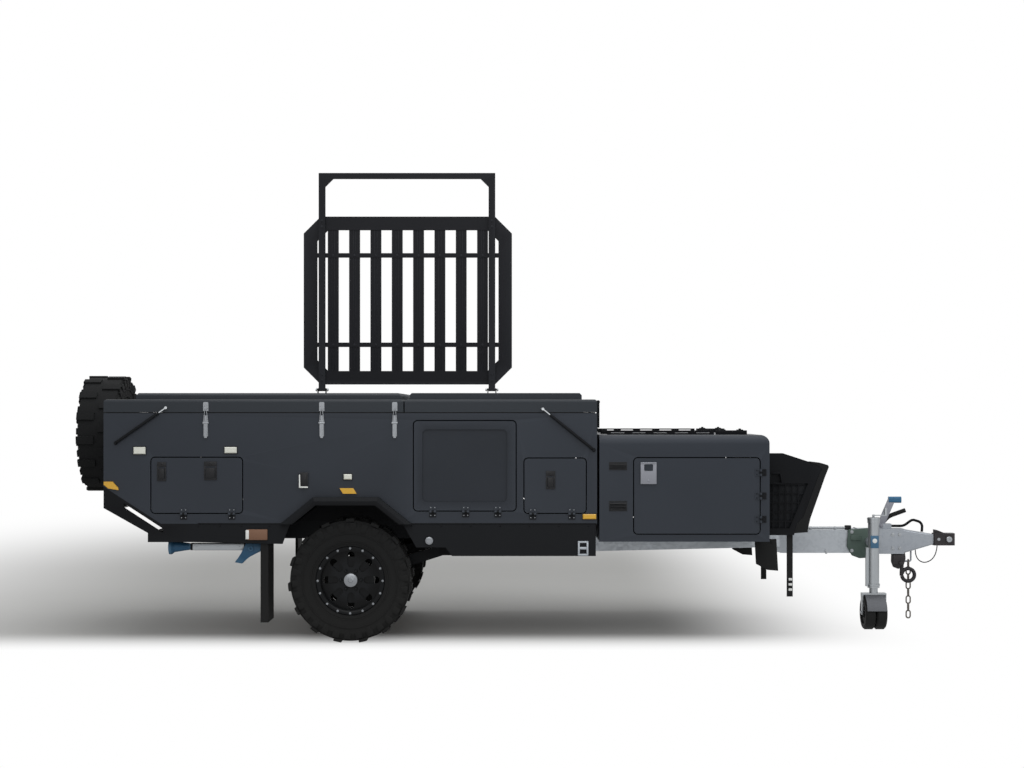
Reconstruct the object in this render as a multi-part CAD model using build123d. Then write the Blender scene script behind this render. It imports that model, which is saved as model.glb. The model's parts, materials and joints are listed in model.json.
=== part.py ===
from build123d import *
import os
from math import acos, atan2, cos, degrees, hypot, pi, sin, tan

# Off-road folding camper trailer, in millimetres.
# While it is drawn, X = 0 is the axle, +X points at the coupling, -Y is the near side and Z = 0 the ground.
# Each node is moved forward or back once, when it is written, so that the origin is under the middle.

# Wheels
TYRE_RADIUS = 402.0
TYRE_WIDTH = 270.0
TYRE_SHOULDER = 46.0
RIM_RADIUS = 222.0
RIM_WALL = 10.0
RIM_LIP = 12.0
HUB_RADIUS = 44.0
SPOKE_COUNT = 8
LUG_COUNT = 30
LUG_DEPTH = 13.0

# Body
BODY_REAR = -1592.0
BODY_FRONT = 1596.0
BODY_HALF_WIDTH = 905.0
TYRE_OUTER_Y = BODY_HALF_WIDTH
WALL = 40.0
FLOOR_Z = 772.0
FLOOR_THICKNESS = 28.0
SEAM_Z = 1486.0
REAR_SLANT_RUN = 370.0
REAR_SLANT_RISE = 240.0

# Wheel arches
ARCH_TOP_Z = 900.0
ARCH_TOP_REAR = -218.0
ARCH_TOP_FRONT = 168.0
ARCH_FOOT_REAR = -376.0
ARCH_FOOT_FRONT = 328.0
ARCH_DEPTH = 300.0
ARCH_SHEET = 6.0
FLARE_WIDTH = 45.0
FLARE_REACH = 70.0

# Lids
LID_SPLIT_X = 349.0
LID_SPLIT_GAP = 8.0
SEAM_GAP = 6.0
LID_EDGE_Z = 1575.0
LID_SKIRT = 30.0
LID_PLATE = 34.0
LID_ROUND = 18.0
LID_BAND_Z = 1617.0
LID_BAND_INSET = 95.0
LID_BAND_WIDTH = 60.0
LID_HINGE_Z = 1560.0
LID_HINGE_OFFSET = 20.0
LID_HINGE_RADIUS = 11.0
LID_HINGE_WIDTH = 90.0
LID_HINGE_Y = BODY_HALF_WIDTH - 285

# Doors and hatches
DOOR_GAP = 7.0
HINGE_RADIUS = 8.0
HINGE_OFFSET = 9.0
HINGE_LENGTH = 44.0
HINGE_LEAF = 36.0
HINGE_PLAY = 0.3
REAR_HATCH = (-1290.0, -690.0, 835.0, 1205.0)
ENTRY_DOOR = (406.0, 1077.0, 850.0, 1442.0)
FRONT_HATCH = (1120.0, 1530.0, 835.0, 1200.0)
REAR_HATCH_HINGES = (-1074.0, -763.0)
ENTRY_DOOR_HINGES = (535.0, 748.0, 955.0)
FRONT_HATCH_HINGES = (1181.0, 1433.0)
DOOR_RECESS = 9.0
DOOR_RECESS_EDGE = 55.0

# Front box
BOX_REAR = 1612.0
BOX_FRONT = 2712.0
BOX_HALF_WIDTH = BODY_HALF_WIDTH - 10
BOX_TOP_Z = 1345.0
BOX_WALL = 30.0
BOX_ROUND = 55.0
BOX_DOOR = (1829.0, 2655.0, 700.0, 1202.0)
BOX_HINGE_Z = (800.0, 951.0, 1102.0)
BOX_RAIL_Y = (195 - BOX_HALF_WIDTH, BOX_HALF_WIDTH - 415)
BOX_RAIL_WIDTH = 40.0
BOX_RAIL_HEIGHT = 28.0
BOX_RAIL_SHEET = 5.0
BOX_RAIL_SLOTS = 5

# Chassis and drawbar
CHASSIS_BOTTOM_Z = 655.0
CHASSIS_RAIL_Y = BODY_HALF_WIDTH - ARCH_DEPTH - 30
CHASSIS_RAIL_WIDTH = 50.0
CHASSIS_REAR = -1210.0
CROSS_MEMBERS = (-1160.0, -650.0, 500.0, 1080.0, 1500.0)
CROSS_MEMBER_WIDTH = 50.0
SILL_SHEET = 12.0
SILL_REAR_END = -1290.0
SILL_REAR_BOTTOM_Z = 653.0
SILL_FRONT_BOTTOM_Z = 557.0
DRAWBAR_DEPTH = 100.0
DRAWBAR_WIDTH = 50.0
DRAWBAR_REAR = 950.0
DRAWBAR_REAR_Y = CHASSIS_RAIL_Y
DRAWBAR_MEET = 2860.0
NOSE_WIDTH = 100.0
NOSE_BOTTOM_Z = 512.0
NOSE_TOP_Z = 672.0
NOSE_FRONT = 3735.0

# Stone guard in front of the box
GUARD_HALF_WIDTH = 620.0
GUARD_SHEET = 5.0
GUARD_FOOT = 22.0
GUARD_TIP = 3110.0
GUARD_TOP_Z = 1220.0

# Spare wheel and its swing carrier
SPARE_REAR = -1905.0
SPARE_CENTRE_Z = 1343.0
SPARE_HINGE_X = -1655.0
SPARE_HINGE_Y = BODY_HALF_WIDTH - 25
SPARE_ARM_Z = 905.0
SPARE_ARM = 40.0

# Rack
RACK_REAR = -526.0
RACK_FRONT = 1046.0
RACK_HINGE_Z = 1660.0
RACK_LEG_INNER_Y = BODY_HALF_WIDTH + 25
RACK_LEG_DEPTH = 22.0
RACK_LEG_WIDTH = 50.0
RACK_LEGS = (-386.0, 895.0)
RACK_DECK_DEPTH = 23.0
RACK_DECK_LOW_Z = 1700.0
RACK_DECK_HIGH_Z = 2968.0
RACK_TOP_Z = 3294.0
RACK_FRAME = 102.0
RACK_CORNER = 128.0
RACK_SLATS = 8
RACK_SLAT_WIDTH = 82.0
RACK_BARS_Z = (2000.0, 2675.0)
RACK_BAR_WIDTH = 34.0

# Stabiliser legs
LEG_PIVOT_X = -650.0
LEG_Y = BODY_HALF_WIDTH - 125
LEG_Z = 615.0
LEG_TUBE = 45.0
LEG_WALL = 4.0
LEG_LENGTH = 400.0
LEG_PLAY = 0.3
FOOT_LENGTH = 140.0
FOOT_RADIUS = 51.0

# Suspension
ARM_PIVOT_X = 620.0
ARM_PIVOT_Z = 585.0
ARM_WIDTH = 70.0
ARM_DEPTH = 90.0
STUB_RADIUS = 22.0

# Gas struts: eye places from the hinge line of each lid
STRUT_Y = BODY_HALF_WIDTH + 16
STRUT_TUBE_RADIUS = 9.5
STRUT_ROD_RADIUS = 4.5
STRUT_EYE_RADIUS = 9.0
REAR_STRUT_LOW = (-1513.0, 1293.0)
REAR_STRUT_HIGH = (-1187.0, 1521.0)
FRONT_STRUT_LOW = (1575.0, 1248.0)
FRONT_STRUT_HIGH = (1246.0, 1513.0)
STRUT_TUBE_SHARE = 0.86

# Coupling and jockey wheel
NOSE_X = 4135.0
HEAD_LENGTH = 155.0
HEAD_RADIUS = 42.0
HEAD_Z = 605.0
HEAD_BORE = 11.0
JOCKEY_X = 3532.0
JOCKEY_Y = -196.0
JOCKEY_TUBE_RADIUS = 38.0
JOCKEY_WALL = 4.0
JOCKEY_TOP_Z = 766.0
JOCKEY_TUBE_BOTTOM_Z = 286.0
JOCKEY_WHEEL_RADIUS = 115.0
JOCKEY_WHEEL_WIDTH = 70.0
JOCKEY_WHEEL_GAP = 8.0
JOCKEY_YOKE_SHEET = 6.0

# Fits
PIN_PLAY = 0.3
SEAT = 0.3

# Where the drawn axle lies once the origin is under the middle of the whole trailer
MIDDLE_X = (NOSE_X + SPARE_REAR) / 2


def block(x0, x1, y0, y1, z0, z1):
    """A box between two corners."""
    size = (abs(x1 - x0), abs(y1 - y0), abs(z1 - z0))
    return Pos((x0 + x1) / 2, (y0 + y1) / 2, (z0 + z1) / 2) * Box(*size)


def side_plate(points, y0, y1):
    """A plate with an X-Z outline, between two Y values."""
    low, high = min(y0, y1), max(y0, y1)
    plane = Plane(origin=(0, high, 0), x_dir=(1, 0, 0), z_dir=(0, -1, 0))
    return extrude(plane * make_face(Polyline(*points, close=True)), amount=high - low)


def cross_plate(points, x0, x1):
    """A plate with a Y-Z outline, between two X values."""
    low, high = min(x0, x1), max(x0, x1)
    plane = Plane(origin=(low, 0, 0), x_dir=(0, 1, 0), z_dir=(1, 0, 0))
    return extrude(plane * make_face(Polyline(*points, close=True)), amount=high - low)


def rod(start, end, radius):
    """A round bar between two points."""
    along = Vector(*end) - Vector(*start)
    return Solid.make_cylinder(radius, along.length, Plane(origin=start, z_dir=along))


def tube(start, end, radius, bore):
    """A round tube between two points."""
    return rod(start, end, radius) - rod(start, end, bore)


def beam(start, end, width, depth):
    """A square-cut bar between two points on one level: width across, depth upwards."""
    along = Vector(*end) - Vector(*start)
    plane = Plane(origin=start, x_dir=along.cross(Vector(0, 0, 1)), z_dir=along)
    return extrude(plane * Rectangle(width, depth), amount=along.length)


def both_sides(*solids):
    """The solids and their mirror images on the far side."""
    return list(solids) + [mirror(solid, about=Plane.XZ) for solid in solids]


def far(*solids):
    """The mirror images alone."""
    return [mirror(solid, about=Plane.XZ) for solid in solids]


def fuse(*solids):
    """One solid from pieces that touch or overlap."""
    return Part() + list(solids)


# Road wheels, drawn round the Y axis with the outer face at -Y

BEAD_RADIUS = RIM_RADIUS - 19
RIM_HALF_WIDTH = TYRE_WIDTH / 2 - 28
RIM_DISC_Y = -52.0
RIM_DISC_THICKNESS = 12.0
RIM_WINDOW_INNER = 88.0
RIM_WINDOW_OUTER = BEAD_RADIUS - RIM_WALL - 14
DRUM_RADIUS = 150.0
DRUM_DEPTH = 78.0
WHEEL_Y = TYRE_OUTER_Y - TYRE_WIDTH / 2
STUB_LENGTH = 70.0


def tyre():
    """A tyre with square shoulders, bulging walls and a bead seat."""
    half = TYRE_WIDTH / 2
    tread_radius = TYRE_RADIUS - LUG_DEPTH
    bead = BEAD_RADIUS + SEAT
    flange = RIM_RADIUS + 2
    with BuildSketch(Plane.XY) as section:
        with BuildLine():
            Polyline(
                (bead, 0),
                (bead, RIM_HALF_WIDTH - SEAT),
                (flange, RIM_HALF_WIDTH - SEAT),
                (flange, RIM_HALF_WIDTH + RIM_LIP),
                (flange + 40, half - 6),
                (tread_radius - TYRE_SHOULDER, half),
                (tread_radius, half - 18),
                (tread_radius, 0),
            )
            mirror(about=Plane.XZ)
        make_face()
    return revolve(section.sketch, Axis.Y)


def lugged_tyre():
    """The tyre with two rows of blocks that wrap over its shoulders."""
    half = TYRE_WIDTH / 2
    carcass = tyre()
    foot = TYRE_RADIUS - LUG_DEPTH - 6
    reach = 2 * pi * TYRE_RADIUS / LUG_COUNT * 0.31
    round_tread = rod((0, -half, 0), (0, half, 0), TYRE_RADIUS)
    blocks = []
    for index in range(LUG_COUNT):
        side = 1 if index % 2 else -1
        lug = block(-reach, reach, side * half * 0.1, side * (half - 3), foot, TYRE_RADIUS + 2) & round_tread
        blocks.append(Rot(Y=360 * index / LUG_COUNT) * lug)
    return fuse(carcass, *blocks)


def rim():
    """A steel rim: barrel, two flanges and a disc with windows."""
    barrel_inner = BEAD_RADIUS - RIM_WALL
    half = RIM_HALF_WIDTH
    flange = half + RIM_LIP
    with BuildSketch(Plane.XY) as section:
        with BuildLine():
            Polyline(
                (barrel_inner, -flange),
                (RIM_RADIUS, -flange),
                (RIM_RADIUS, -half),
                (BEAD_RADIUS, -half),
                (BEAD_RADIUS, half),
                (RIM_RADIUS, half),
                (RIM_RADIUS, flange),
                (barrel_inner, flange),
                close=True,
            )
        make_face()
    barrel = revolve(section.sketch, Axis.Y)
    disc_plane = Plane(origin=(0, RIM_DISC_Y, 0), x_dir=(1, 0, 0), z_dir=(0, -1, 0))
    disc = extrude(disc_plane * Circle(barrel_inner + 2), amount=RIM_DISC_THICKNESS)
    disc -= extrude(disc_plane * Circle(HUB_RADIUS + SEAT), amount=RIM_DISC_THICKNESS)
    window = SlotCenterToCenter(RIM_WINDOW_OUTER - RIM_WINDOW_INNER - 34, 46)
    for index in range(SPOKE_COUNT):
        turned = disc_plane * Rot(Z=360 * index / SPOKE_COUNT)
        middle = (RIM_WINDOW_INNER + RIM_WINDOW_OUTER) / 2
        disc -= extrude(turned * Pos(middle, 0) * window, amount=RIM_DISC_THICKNESS)
    return barrel + disc


def hub():
    """The hub with its cap, its stub bore and the drum behind the disc."""
    disc_back = RIM_DISC_Y + SEAT
    cap_front = RIM_DISC_Y - RIM_DISC_THICKNESS - 22
    inner_face = disc_back + DRUM_DEPTH
    barrel = rod((0, cap_front, 0), (0, inner_face, 0), HUB_RADIUS)
    drum = rod((0, disc_back, 0), (0, inner_face, 0), DRUM_RADIUS)
    drum -= rod((0, disc_back + 12, 0), (0, inner_face, 0), DRUM_RADIUS - 14)
    stub_end = inner_face - STUB_LENGTH - 2
    solid = fuse(barrel, drum)
    return solid - rod((0, stub_end, 0), (0, inner_face + 1, 0), STUB_RADIUS + PIN_PLAY)


def road_wheel(piece):
    """A wheel piece at the near side of the axle."""
    return Pos(0, -WHEEL_Y, TYRE_RADIUS) * piece


def suspension_near():
    """Trailing arm, knuckle, stub axle and backing plate, with its air spring and damper."""
    inner_y = -(WHEEL_Y - TYRE_WIDTH / 2 - 35) + ARM_WIDTH
    outer_y = inner_y - ARM_WIDTH
    axle_z = TYRE_RADIUS
    pivot = (ARM_PIVOT_X, ARM_PIVOT_Z)
    slope = atan2(ARM_PIVOT_Z - axle_z, ARM_PIVOT_X)
    across = (-sin(slope) * ARM_DEPTH / 2, cos(slope) * ARM_DEPTH / 2)
    beam_points = [
        (across[0], axle_z + across[1]),
        (pivot[0] + across[0] * 0.7, pivot[1] + across[1] * 0.7),
        (pivot[0] - across[0] * 0.7, pivot[1] - across[1] * 0.7),
        (-across[0], axle_z - across[1]),
    ]
    arm = side_plate(beam_points, outer_y, inner_y)
    arm = fuse(arm, rod((0, outer_y, axle_z), (0, inner_y, axle_z), 62))
    arm = fuse(arm, rod((pivot[0], outer_y, pivot[1]), (pivot[0], inner_y, pivot[1]), 34))
    hub_inner = -WHEEL_Y + RIM_DISC_Y + SEAT + DRUM_DEPTH
    arm = fuse(arm, rod((0, hub_inner + 6, axle_z), (0, hub_inner + 12, axle_z), DRUM_RADIUS - 16))
    arm = fuse(arm, rod((0, hub_inner - STUB_LENGTH, axle_z), (0, outer_y + 1, axle_z), STUB_RADIUS))
    arm -= rod((pivot[0], outer_y - 1, pivot[1]), (pivot[0], inner_y + 1, pivot[1]), 14 + PIN_PLAY)
    middle_y = (inner_y + outer_y) / 2
    spring_x = 200.0
    seat_z = axle_z + spring_x * sin(slope) / cos(slope) + ARM_DEPTH / 2 / cos(slope)
    pad = block(spring_x - 60, spring_x + 60, outer_y, inner_y, seat_z - 30, seat_z + 8)
    arm = fuse(arm, pad)
    spring = air_spring(spring_x, middle_y, seat_z + 8 + SEAT, CHASSIS_BOTTOM_Z - 10 - SEAT)
    damper_low = (30.0, inner_y + 22, axle_z + 10)
    damper_high = (-70.0, inner_y + 22, CHASSIS_BOTTOM_Z - 45)
    damper = damper_between(damper_low, damper_high)
    arm = fuse(arm, rod((30.0, inner_y - 2, axle_z + 10), (30.0, inner_y + 34, axle_z + 10), 8))
    return [arm, spring, damper]


def air_spring(x, y, low_z, high_z):
    """A bellows of two lobes between its end plates."""
    height = high_z - low_z
    middle = low_z + height / 2
    plate = 8.0
    lobe = 44.0
    with BuildSketch(Plane(origin=(x, y, 0), x_dir=(1, 0, 0), z_dir=(0, -1, 0))) as section:
        with BuildLine():
            Line((0, low_z), (lobe - 4, low_z))
            Line((lobe - 4, low_z), (lobe - 4, low_z + plate))
            ThreePointArc((lobe - 4, low_z + plate), (lobe + 10, (low_z + plate + middle) / 2), (lobe - 8, middle))
            ThreePointArc((lobe - 8, middle), (lobe + 10, (middle + high_z - plate) / 2), (lobe - 4, high_z - plate))
            Line((lobe - 4, high_z - plate), (lobe - 4, high_z))
            Line((lobe - 4, high_z), (0, high_z))
            Line((0, high_z), (0, low_z))
        make_face()
    return revolve(section.sketch, Axis((x, y, 0), (0, 0, 1)))


def damper_between(low, high):
    """A shock absorber: body, rod and an eye at each end."""
    start = Vector(*low)
    along = Vector(*high) - start
    middle = start + along * 0.55
    body = rod(start + along * 0.1, middle, 21)
    shaft = rod(middle - along * 0.02, high, 8)
    low_eye = rod((low[0], low[1] - 12, low[2]), (low[0], low[1] + 12, low[2]), 24)
    low_eye -= rod((low[0], low[1] - 13, low[2]), (low[0], low[1] + 13, low[2]), 8 + PIN_PLAY)
    high_eye = rod((high[0], high[1] - 12, high[2]), (high[0], high[1] + 12, high[2]), 18)
    bore = rod((high[0], high[1] - 13, high[2]), (high[0], high[1] + 13, high[2]), 8 + PIN_PLAY)
    solid = fuse(body, shaft, high_eye) - bore
    low_bore = rod((low[0], low[1] - 13, low[2]), (low[0], low[1] + 13, low[2]), 23)
    return fuse(solid - low_bore, low_eye)


def arm_hanger_near():
    """The bracket under the rail that carries the arm's pivot, the spring seat and the damper's top pin."""
    inner_y = -(WHEEL_Y - TYRE_WIDTH / 2 - 35) + ARM_WIDTH
    outer_y = inner_y - ARM_WIDTH
    low = ARM_PIVOT_Z - 42
    outline = [
        (ARM_PIVOT_X - 80, CHASSIS_BOTTOM_Z),
        (ARM_PIVOT_X + 70, CHASSIS_BOTTOM_Z),
        (ARM_PIVOT_X + 38, low),
        (ARM_PIVOT_X - 38, low),
    ]
    cheeks = [side_plate(outline, outer_y - 9, outer_y - 1), side_plate(outline, inner_y + 1, inner_y + 9)]
    top = block(ARM_PIVOT_X - 80, ARM_PIVOT_X + 70, outer_y - 9, inner_y + 9, CHASSIS_BOTTOM_Z - 10, CHASSIS_BOTTOM_Z)
    pin = rod((ARM_PIVOT_X, outer_y - 16, ARM_PIVOT_Z), (ARM_PIVOT_X, inner_y + 16, ARM_PIVOT_Z), 14)
    seat = block(130, 270, -CHASSIS_RAIL_Y - 20, inner_y + 9, CHASSIS_BOTTOM_Z - 10, CHASSIS_BOTTOM_Z)
    damper_y = inner_y + 22
    high_z = CHASSIS_BOTTOM_Z - 45
    plate = block(-110, -30, -CHASSIS_RAIL_Y - 20, damper_y + 26, CHASSIS_BOTTOM_Z - 10, CHASSIS_BOTTOM_Z)
    ear = block(-88, -52, damper_y + 13, damper_y + 21, high_z - 18, CHASSIS_BOTTOM_Z - 5)
    damper_pin = rod((-70, damper_y - 13, high_z), (-70, damper_y + 22, high_z), 8)
    return [fuse(*cheeks, top, pin), seat, fuse(plate, ear, damper_pin)]


# Body

WALL_INNER_Y = BODY_HALF_WIDTH - WALL
FLOOR_TOP_Z = FLOOR_Z + FLOOR_THICKNESS
ARCH_INNER_Y = BODY_HALF_WIDTH - ARCH_DEPTH
SLANT_SLOPE = REAR_SLANT_RISE / REAR_SLANT_RUN
SLANT_LENGTH = hypot(REAR_SLANT_RUN, REAR_SLANT_RISE)
SLANT_TOP_Z = FLOOR_Z + REAR_SLANT_RISE


def arch_outline():
    """The four corners of a wheel arch, from the rear foot."""
    return [
        (ARCH_FOOT_REAR, FLOOR_Z),
        (ARCH_TOP_REAR, ARCH_TOP_Z),
        (ARCH_TOP_FRONT, ARCH_TOP_Z),
        (ARCH_FOOT_FRONT, FLOOR_Z),
    ]


def arch_face(grow):
    """The arch outline in the X-Z plane, grown on its three upper sides."""
    face = make_face(Polyline(*arch_outline(), close=True))
    grown = offset(face, amount=grow, kind=Kind.INTERSECTION) if grow else face
    width = ARCH_FOOT_FRONT - ARCH_FOOT_REAR + 400
    middle = (ARCH_FOOT_FRONT + ARCH_FOOT_REAR) / 2
    return grown - Pos(middle, FLOOR_Z - 200) * Rectangle(width, 400)


def arch_prism(grow, outer_y, inner_y):
    """The arch outline as a solid between two near-side planes."""
    plane = Plane(origin=(0, -inner_y, 0), x_dir=(1, 0, 0), z_dir=(0, -1, 0))
    return extrude(plane * arch_face(grow), amount=outer_y - inner_y)


def door_prism(spec, shrink, outer_y, inner_y, radius):
    """A door's outline with round corners, between two near-side planes."""
    x0, x1, z0, z1 = spec
    plane = Plane(origin=(0, -inner_y, 0), x_dir=(1, 0, 0), z_dir=(0, -1, 0))
    outline = RectangleRounded(x1 - x0 - 2 * shrink, z1 - z0 - 2 * shrink, radius)
    return extrude(plane * Pos((x0 + x1) / 2, (z0 + z1) / 2) * outline, amount=outer_y - inner_y)


def side_wall(openings):
    """A side wall at the near side: slanted rear corner, arch and door openings."""
    outline = [
        (BODY_REAR, SEAM_Z),
        (BODY_FRONT, SEAM_Z),
        (BODY_FRONT, FLOOR_Z),
        (BODY_REAR + REAR_SLANT_RUN, FLOOR_Z),
        (BODY_REAR, SLANT_TOP_Z),
    ]
    wall = side_plate(outline, -BODY_HALF_WIDTH, -WALL_INNER_Y)
    wall -= arch_prism(0, BODY_HALF_WIDTH + 1, WALL_INNER_Y - 1)
    for spec in openings:
        wall -= door_prism(spec, 0, BODY_HALF_WIDTH + 1, WALL_INNER_Y - 1, 30)
    return wall


def wall_rear():
    """The rear wall with the slanted panel under it, as one bent panel."""
    inset_x = WALL * SLANT_SLOPE / hypot(1, SLANT_SLOPE)
    inset_z = WALL / hypot(1, SLANT_SLOPE)
    bend_z = SLANT_TOP_Z + inset_z - (WALL - inset_x) * SLANT_SLOPE
    foot_inner = BODY_REAR + WALL + (bend_z - FLOOR_TOP_Z) / SLANT_SLOPE
    outline = [
        (BODY_REAR, SEAM_Z),
        (BODY_REAR + WALL, SEAM_Z),
        (BODY_REAR + WALL, bend_z),
        (foot_inner, FLOOR_TOP_Z),
        (BODY_REAR + REAR_SLANT_RUN - FLOOR_THICKNESS / SLANT_SLOPE, FLOOR_TOP_Z),
        (BODY_REAR, SLANT_TOP_Z),
    ]
    return side_plate(outline, -WALL_INNER_Y, WALL_INNER_Y)


def wall_front():
    """The flat front wall."""
    return block(BODY_FRONT - WALL, BODY_FRONT, -WALL_INNER_Y, WALL_INNER_Y, FLOOR_Z, SEAM_Z)


def body_floor():
    """The floor panel, notched over both wheels."""
    outline = [
        (BODY_REAR + REAR_SLANT_RUN - FLOOR_THICKNESS / SLANT_SLOPE, FLOOR_TOP_Z),
        (BODY_FRONT - WALL, FLOOR_TOP_Z),
        (BODY_FRONT - WALL, FLOOR_Z),
        (BODY_REAR + REAR_SLANT_RUN, FLOOR_Z),
    ]
    floor = side_plate(outline, -WALL_INNER_Y, WALL_INNER_Y)
    notch = arch_prism(0, BODY_HALF_WIDTH, ARCH_INNER_Y)
    return floor - notch - mirror(notch, about=Plane.XZ)


def arch_near():
    """The wheel well's liner and the flare that stands out round the arch."""
    liner = arch_prism(0, BODY_HALF_WIDTH, ARCH_INNER_Y)
    liner -= arch_prism(-ARCH_SHEET, BODY_HALF_WIDTH + 1, ARCH_INNER_Y + ARCH_SHEET)
    hollow_foot = block(
        ARCH_FOOT_REAR + 2 * ARCH_SHEET,
        ARCH_FOOT_FRONT - 2 * ARCH_SHEET,
        -BODY_HALF_WIDTH - 1,
        -ARCH_INNER_Y - ARCH_SHEET,
        FLOOR_Z - 1,
        FLOOR_Z + ARCH_SHEET + 1,
    )
    liner -= hollow_foot
    flare = arch_prism(FLARE_WIDTH, BODY_HALF_WIDTH + FLARE_REACH, BODY_HALF_WIDTH)
    flare -= arch_prism(-ARCH_SHEET, BODY_HALF_WIDTH + FLARE_REACH + 1, BODY_HALF_WIDTH - 1)
    flare -= hollow_foot.moved(Pos(0, -FLARE_REACH - 1, 0))
    outer_edges = flare.edges().group_by(Axis.Y)[0].filter_by(lambda edge: edge.length > 200)
    top = outer_edges.filter_by(lambda edge: edge.center().Z > FLOOR_Z + 20).sort_by(Axis.Z)
    widest = [edge for edge in top if arch_edge_is_outer(edge)]
    flare = chamfer(widest, length=24, length2=24) if widest else flare
    return [fuse(liner, flare)]


def arch_edge_is_outer(edge):
    """Whether an edge lies on the flare's outer outline, not on the opening."""
    middle = edge.center()
    slope_x = (middle.X - (ARCH_FOOT_REAR + ARCH_FOOT_FRONT) / 2)
    half_foot = (ARCH_FOOT_FRONT - ARCH_FOOT_REAR) / 2
    half_top = (ARCH_TOP_FRONT - ARCH_TOP_REAR) / 2
    share = (middle.Z - FLOOR_Z) / (ARCH_TOP_Z - FLOOR_Z)
    reach = half_foot + (half_top - half_foot) * share
    return middle.Z > ARCH_TOP_Z + 10 or abs(slope_x) > reach + 10


# Hinges, drawn with the axis along X at the origin, the wall below and the door above

def hinge_fixed():
    """The wall's leaf with the middle knuckle and the pin."""
    third = HINGE_LENGTH / 6
    leaf = block(-HINGE_LENGTH / 2, HINGE_LENGTH / 2, HINGE_OFFSET - 4, HINGE_OFFSET, -HINGE_LEAF, -HINGE_RADIUS - 1)
    knuckle = rod((-third, 0, 0), (third, 0, 0), HINGE_RADIUS)
    web = block(-third, third, 0, HINGE_OFFSET, -HINGE_RADIUS - 3, 0)
    pin = rod((-HINGE_LENGTH / 2, 0, 0), (HINGE_LENGTH / 2, 0, 0), 3)
    return fuse(leaf, knuckle, web, pin)


def hinge_moving():
    """The door's leaf with the two outer knuckles."""
    third = HINGE_LENGTH / 6 + HINGE_PLAY
    half = HINGE_LENGTH / 2
    leaf = block(-half, half, HINGE_OFFSET - 4, HINGE_OFFSET, DOOR_GAP + 1, HINGE_LEAF)
    pieces = [leaf]
    for low, high in ((-half, -third), (third, half)):
        pieces.append(rod((low, 0, 0), (high, 0, 0), HINGE_RADIUS))
        pieces.append(block(low, high, 0, HINGE_OFFSET - 0.5, 0, DOOR_GAP + 3))
    return fuse(*pieces) - rod((-half - 1, 0, 0), (half + 1, 0, 0), 3 + HINGE_PLAY)


def bottom_hinges(places, z, piece):
    """Hinge pieces along the bottom edge of a near-side door."""
    return [Pos(x, -BODY_HALF_WIDTH - HINGE_OFFSET, z) * piece for x in places]


def hatch_near(spec, hinge_places):
    """A bottom-hinged hatch: a panel as thick as the wall, with its hinge leaves."""
    panel = door_prism(spec, DOOR_GAP, BODY_HALF_WIDTH, WALL_INNER_Y, 23)
    return [panel] + bottom_hinges(hinge_places, spec[2], hinge_moving())


def entry_door_near():
    """The entry door, whose middle field is set back."""
    panel, *leaves = hatch_near(ENTRY_DOOR, ENTRY_DOOR_HINGES)
    field = door_prism(ENTRY_DOOR, DOOR_GAP + DOOR_RECESS_EDGE, BODY_HALF_WIDTH + 1, BODY_HALF_WIDTH - DOOR_RECESS, 30)
    return [panel - field] + leaves


def hatch_hinges_near():
    """The wall leaves of both hatches."""
    rear = bottom_hinges(REAR_HATCH_HINGES, REAR_HATCH[2], hinge_fixed())
    return rear + bottom_hinges(FRONT_HATCH_HINGES, FRONT_HATCH[2], hinge_fixed())


# Front box

def front_box():
    """The hollow box on the drawbar, with a door opening on each side."""
    bottom = CHASSIS_BOTTOM_Z
    outline = [
        (-BOX_HALF_WIDTH, bottom),
        (BOX_HALF_WIDTH, bottom),
        (BOX_HALF_WIDTH, BOX_TOP_Z),
        (-BOX_HALF_WIDTH, BOX_TOP_Z),
    ]
    box = cross_plate(outline, BOX_REAR, BOX_FRONT)
    top_edges = box.edges().filter_by(Axis.X).group_by(Axis.Z)[-1]
    front_top = box.edges().filter_by(Axis.Y).group_by(Axis.Z)[-1].sort_by(Axis.X)[-1:]
    box = fillet(top_edges + front_top, BOX_ROUND)
    box -= block(
        BOX_REAR + BOX_WALL,
        BOX_FRONT - BOX_WALL,
        -BOX_HALF_WIDTH + BOX_WALL,
        BOX_HALF_WIDTH - BOX_WALL,
        bottom + BOX_WALL,
        BOX_TOP_Z - BOX_WALL - 12,
    )
    opening = door_prism(BOX_DOOR, 0, BOX_HALF_WIDTH + 1, BOX_HALF_WIDTH - BOX_WALL - 1, 30)
    return box - opening - mirror(opening, about=Plane.XZ)


def box_door_near():
    """The box door, hinged at its front edge, with its latch plate."""
    panel = door_prism(BOX_DOOR, DOOR_GAP, BOX_HALF_WIDTH, BOX_HALF_WIDTH - BOX_WALL, 23)
    leaves = box_hinges(hinge_moving())
    x0, x1, z0, z1 = BOX_DOOR
    latch = door_prism((x0 + 50, x0 + 150, z1 - 175, z1 - 35), 0, BOX_HALF_WIDTH + 6, BOX_HALF_WIDTH, 8)
    latch -= door_prism((x0 + 64, x0 + 136, z1 - 160, z1 - 90), 0, BOX_HALF_WIDTH + 7, BOX_HALF_WIDTH + 2, 6)
    handle = door_prism((x0 + 72, x0 + 128, z1 - 88, z1 - 46), 0, BOX_HALF_WIDTH + 14, BOX_HALF_WIDTH + 5, 6)
    return [panel, fuse(latch, handle)] + leaves


def box_hinges(piece):
    """Hinge pieces up the front edge of the near-side box door."""
    turned = Rot(Y=-90) * piece
    return [Pos(BOX_DOOR[1], -BOX_HALF_WIDTH - HINGE_OFFSET, z) * turned for z in BOX_HINGE_Z]


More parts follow.
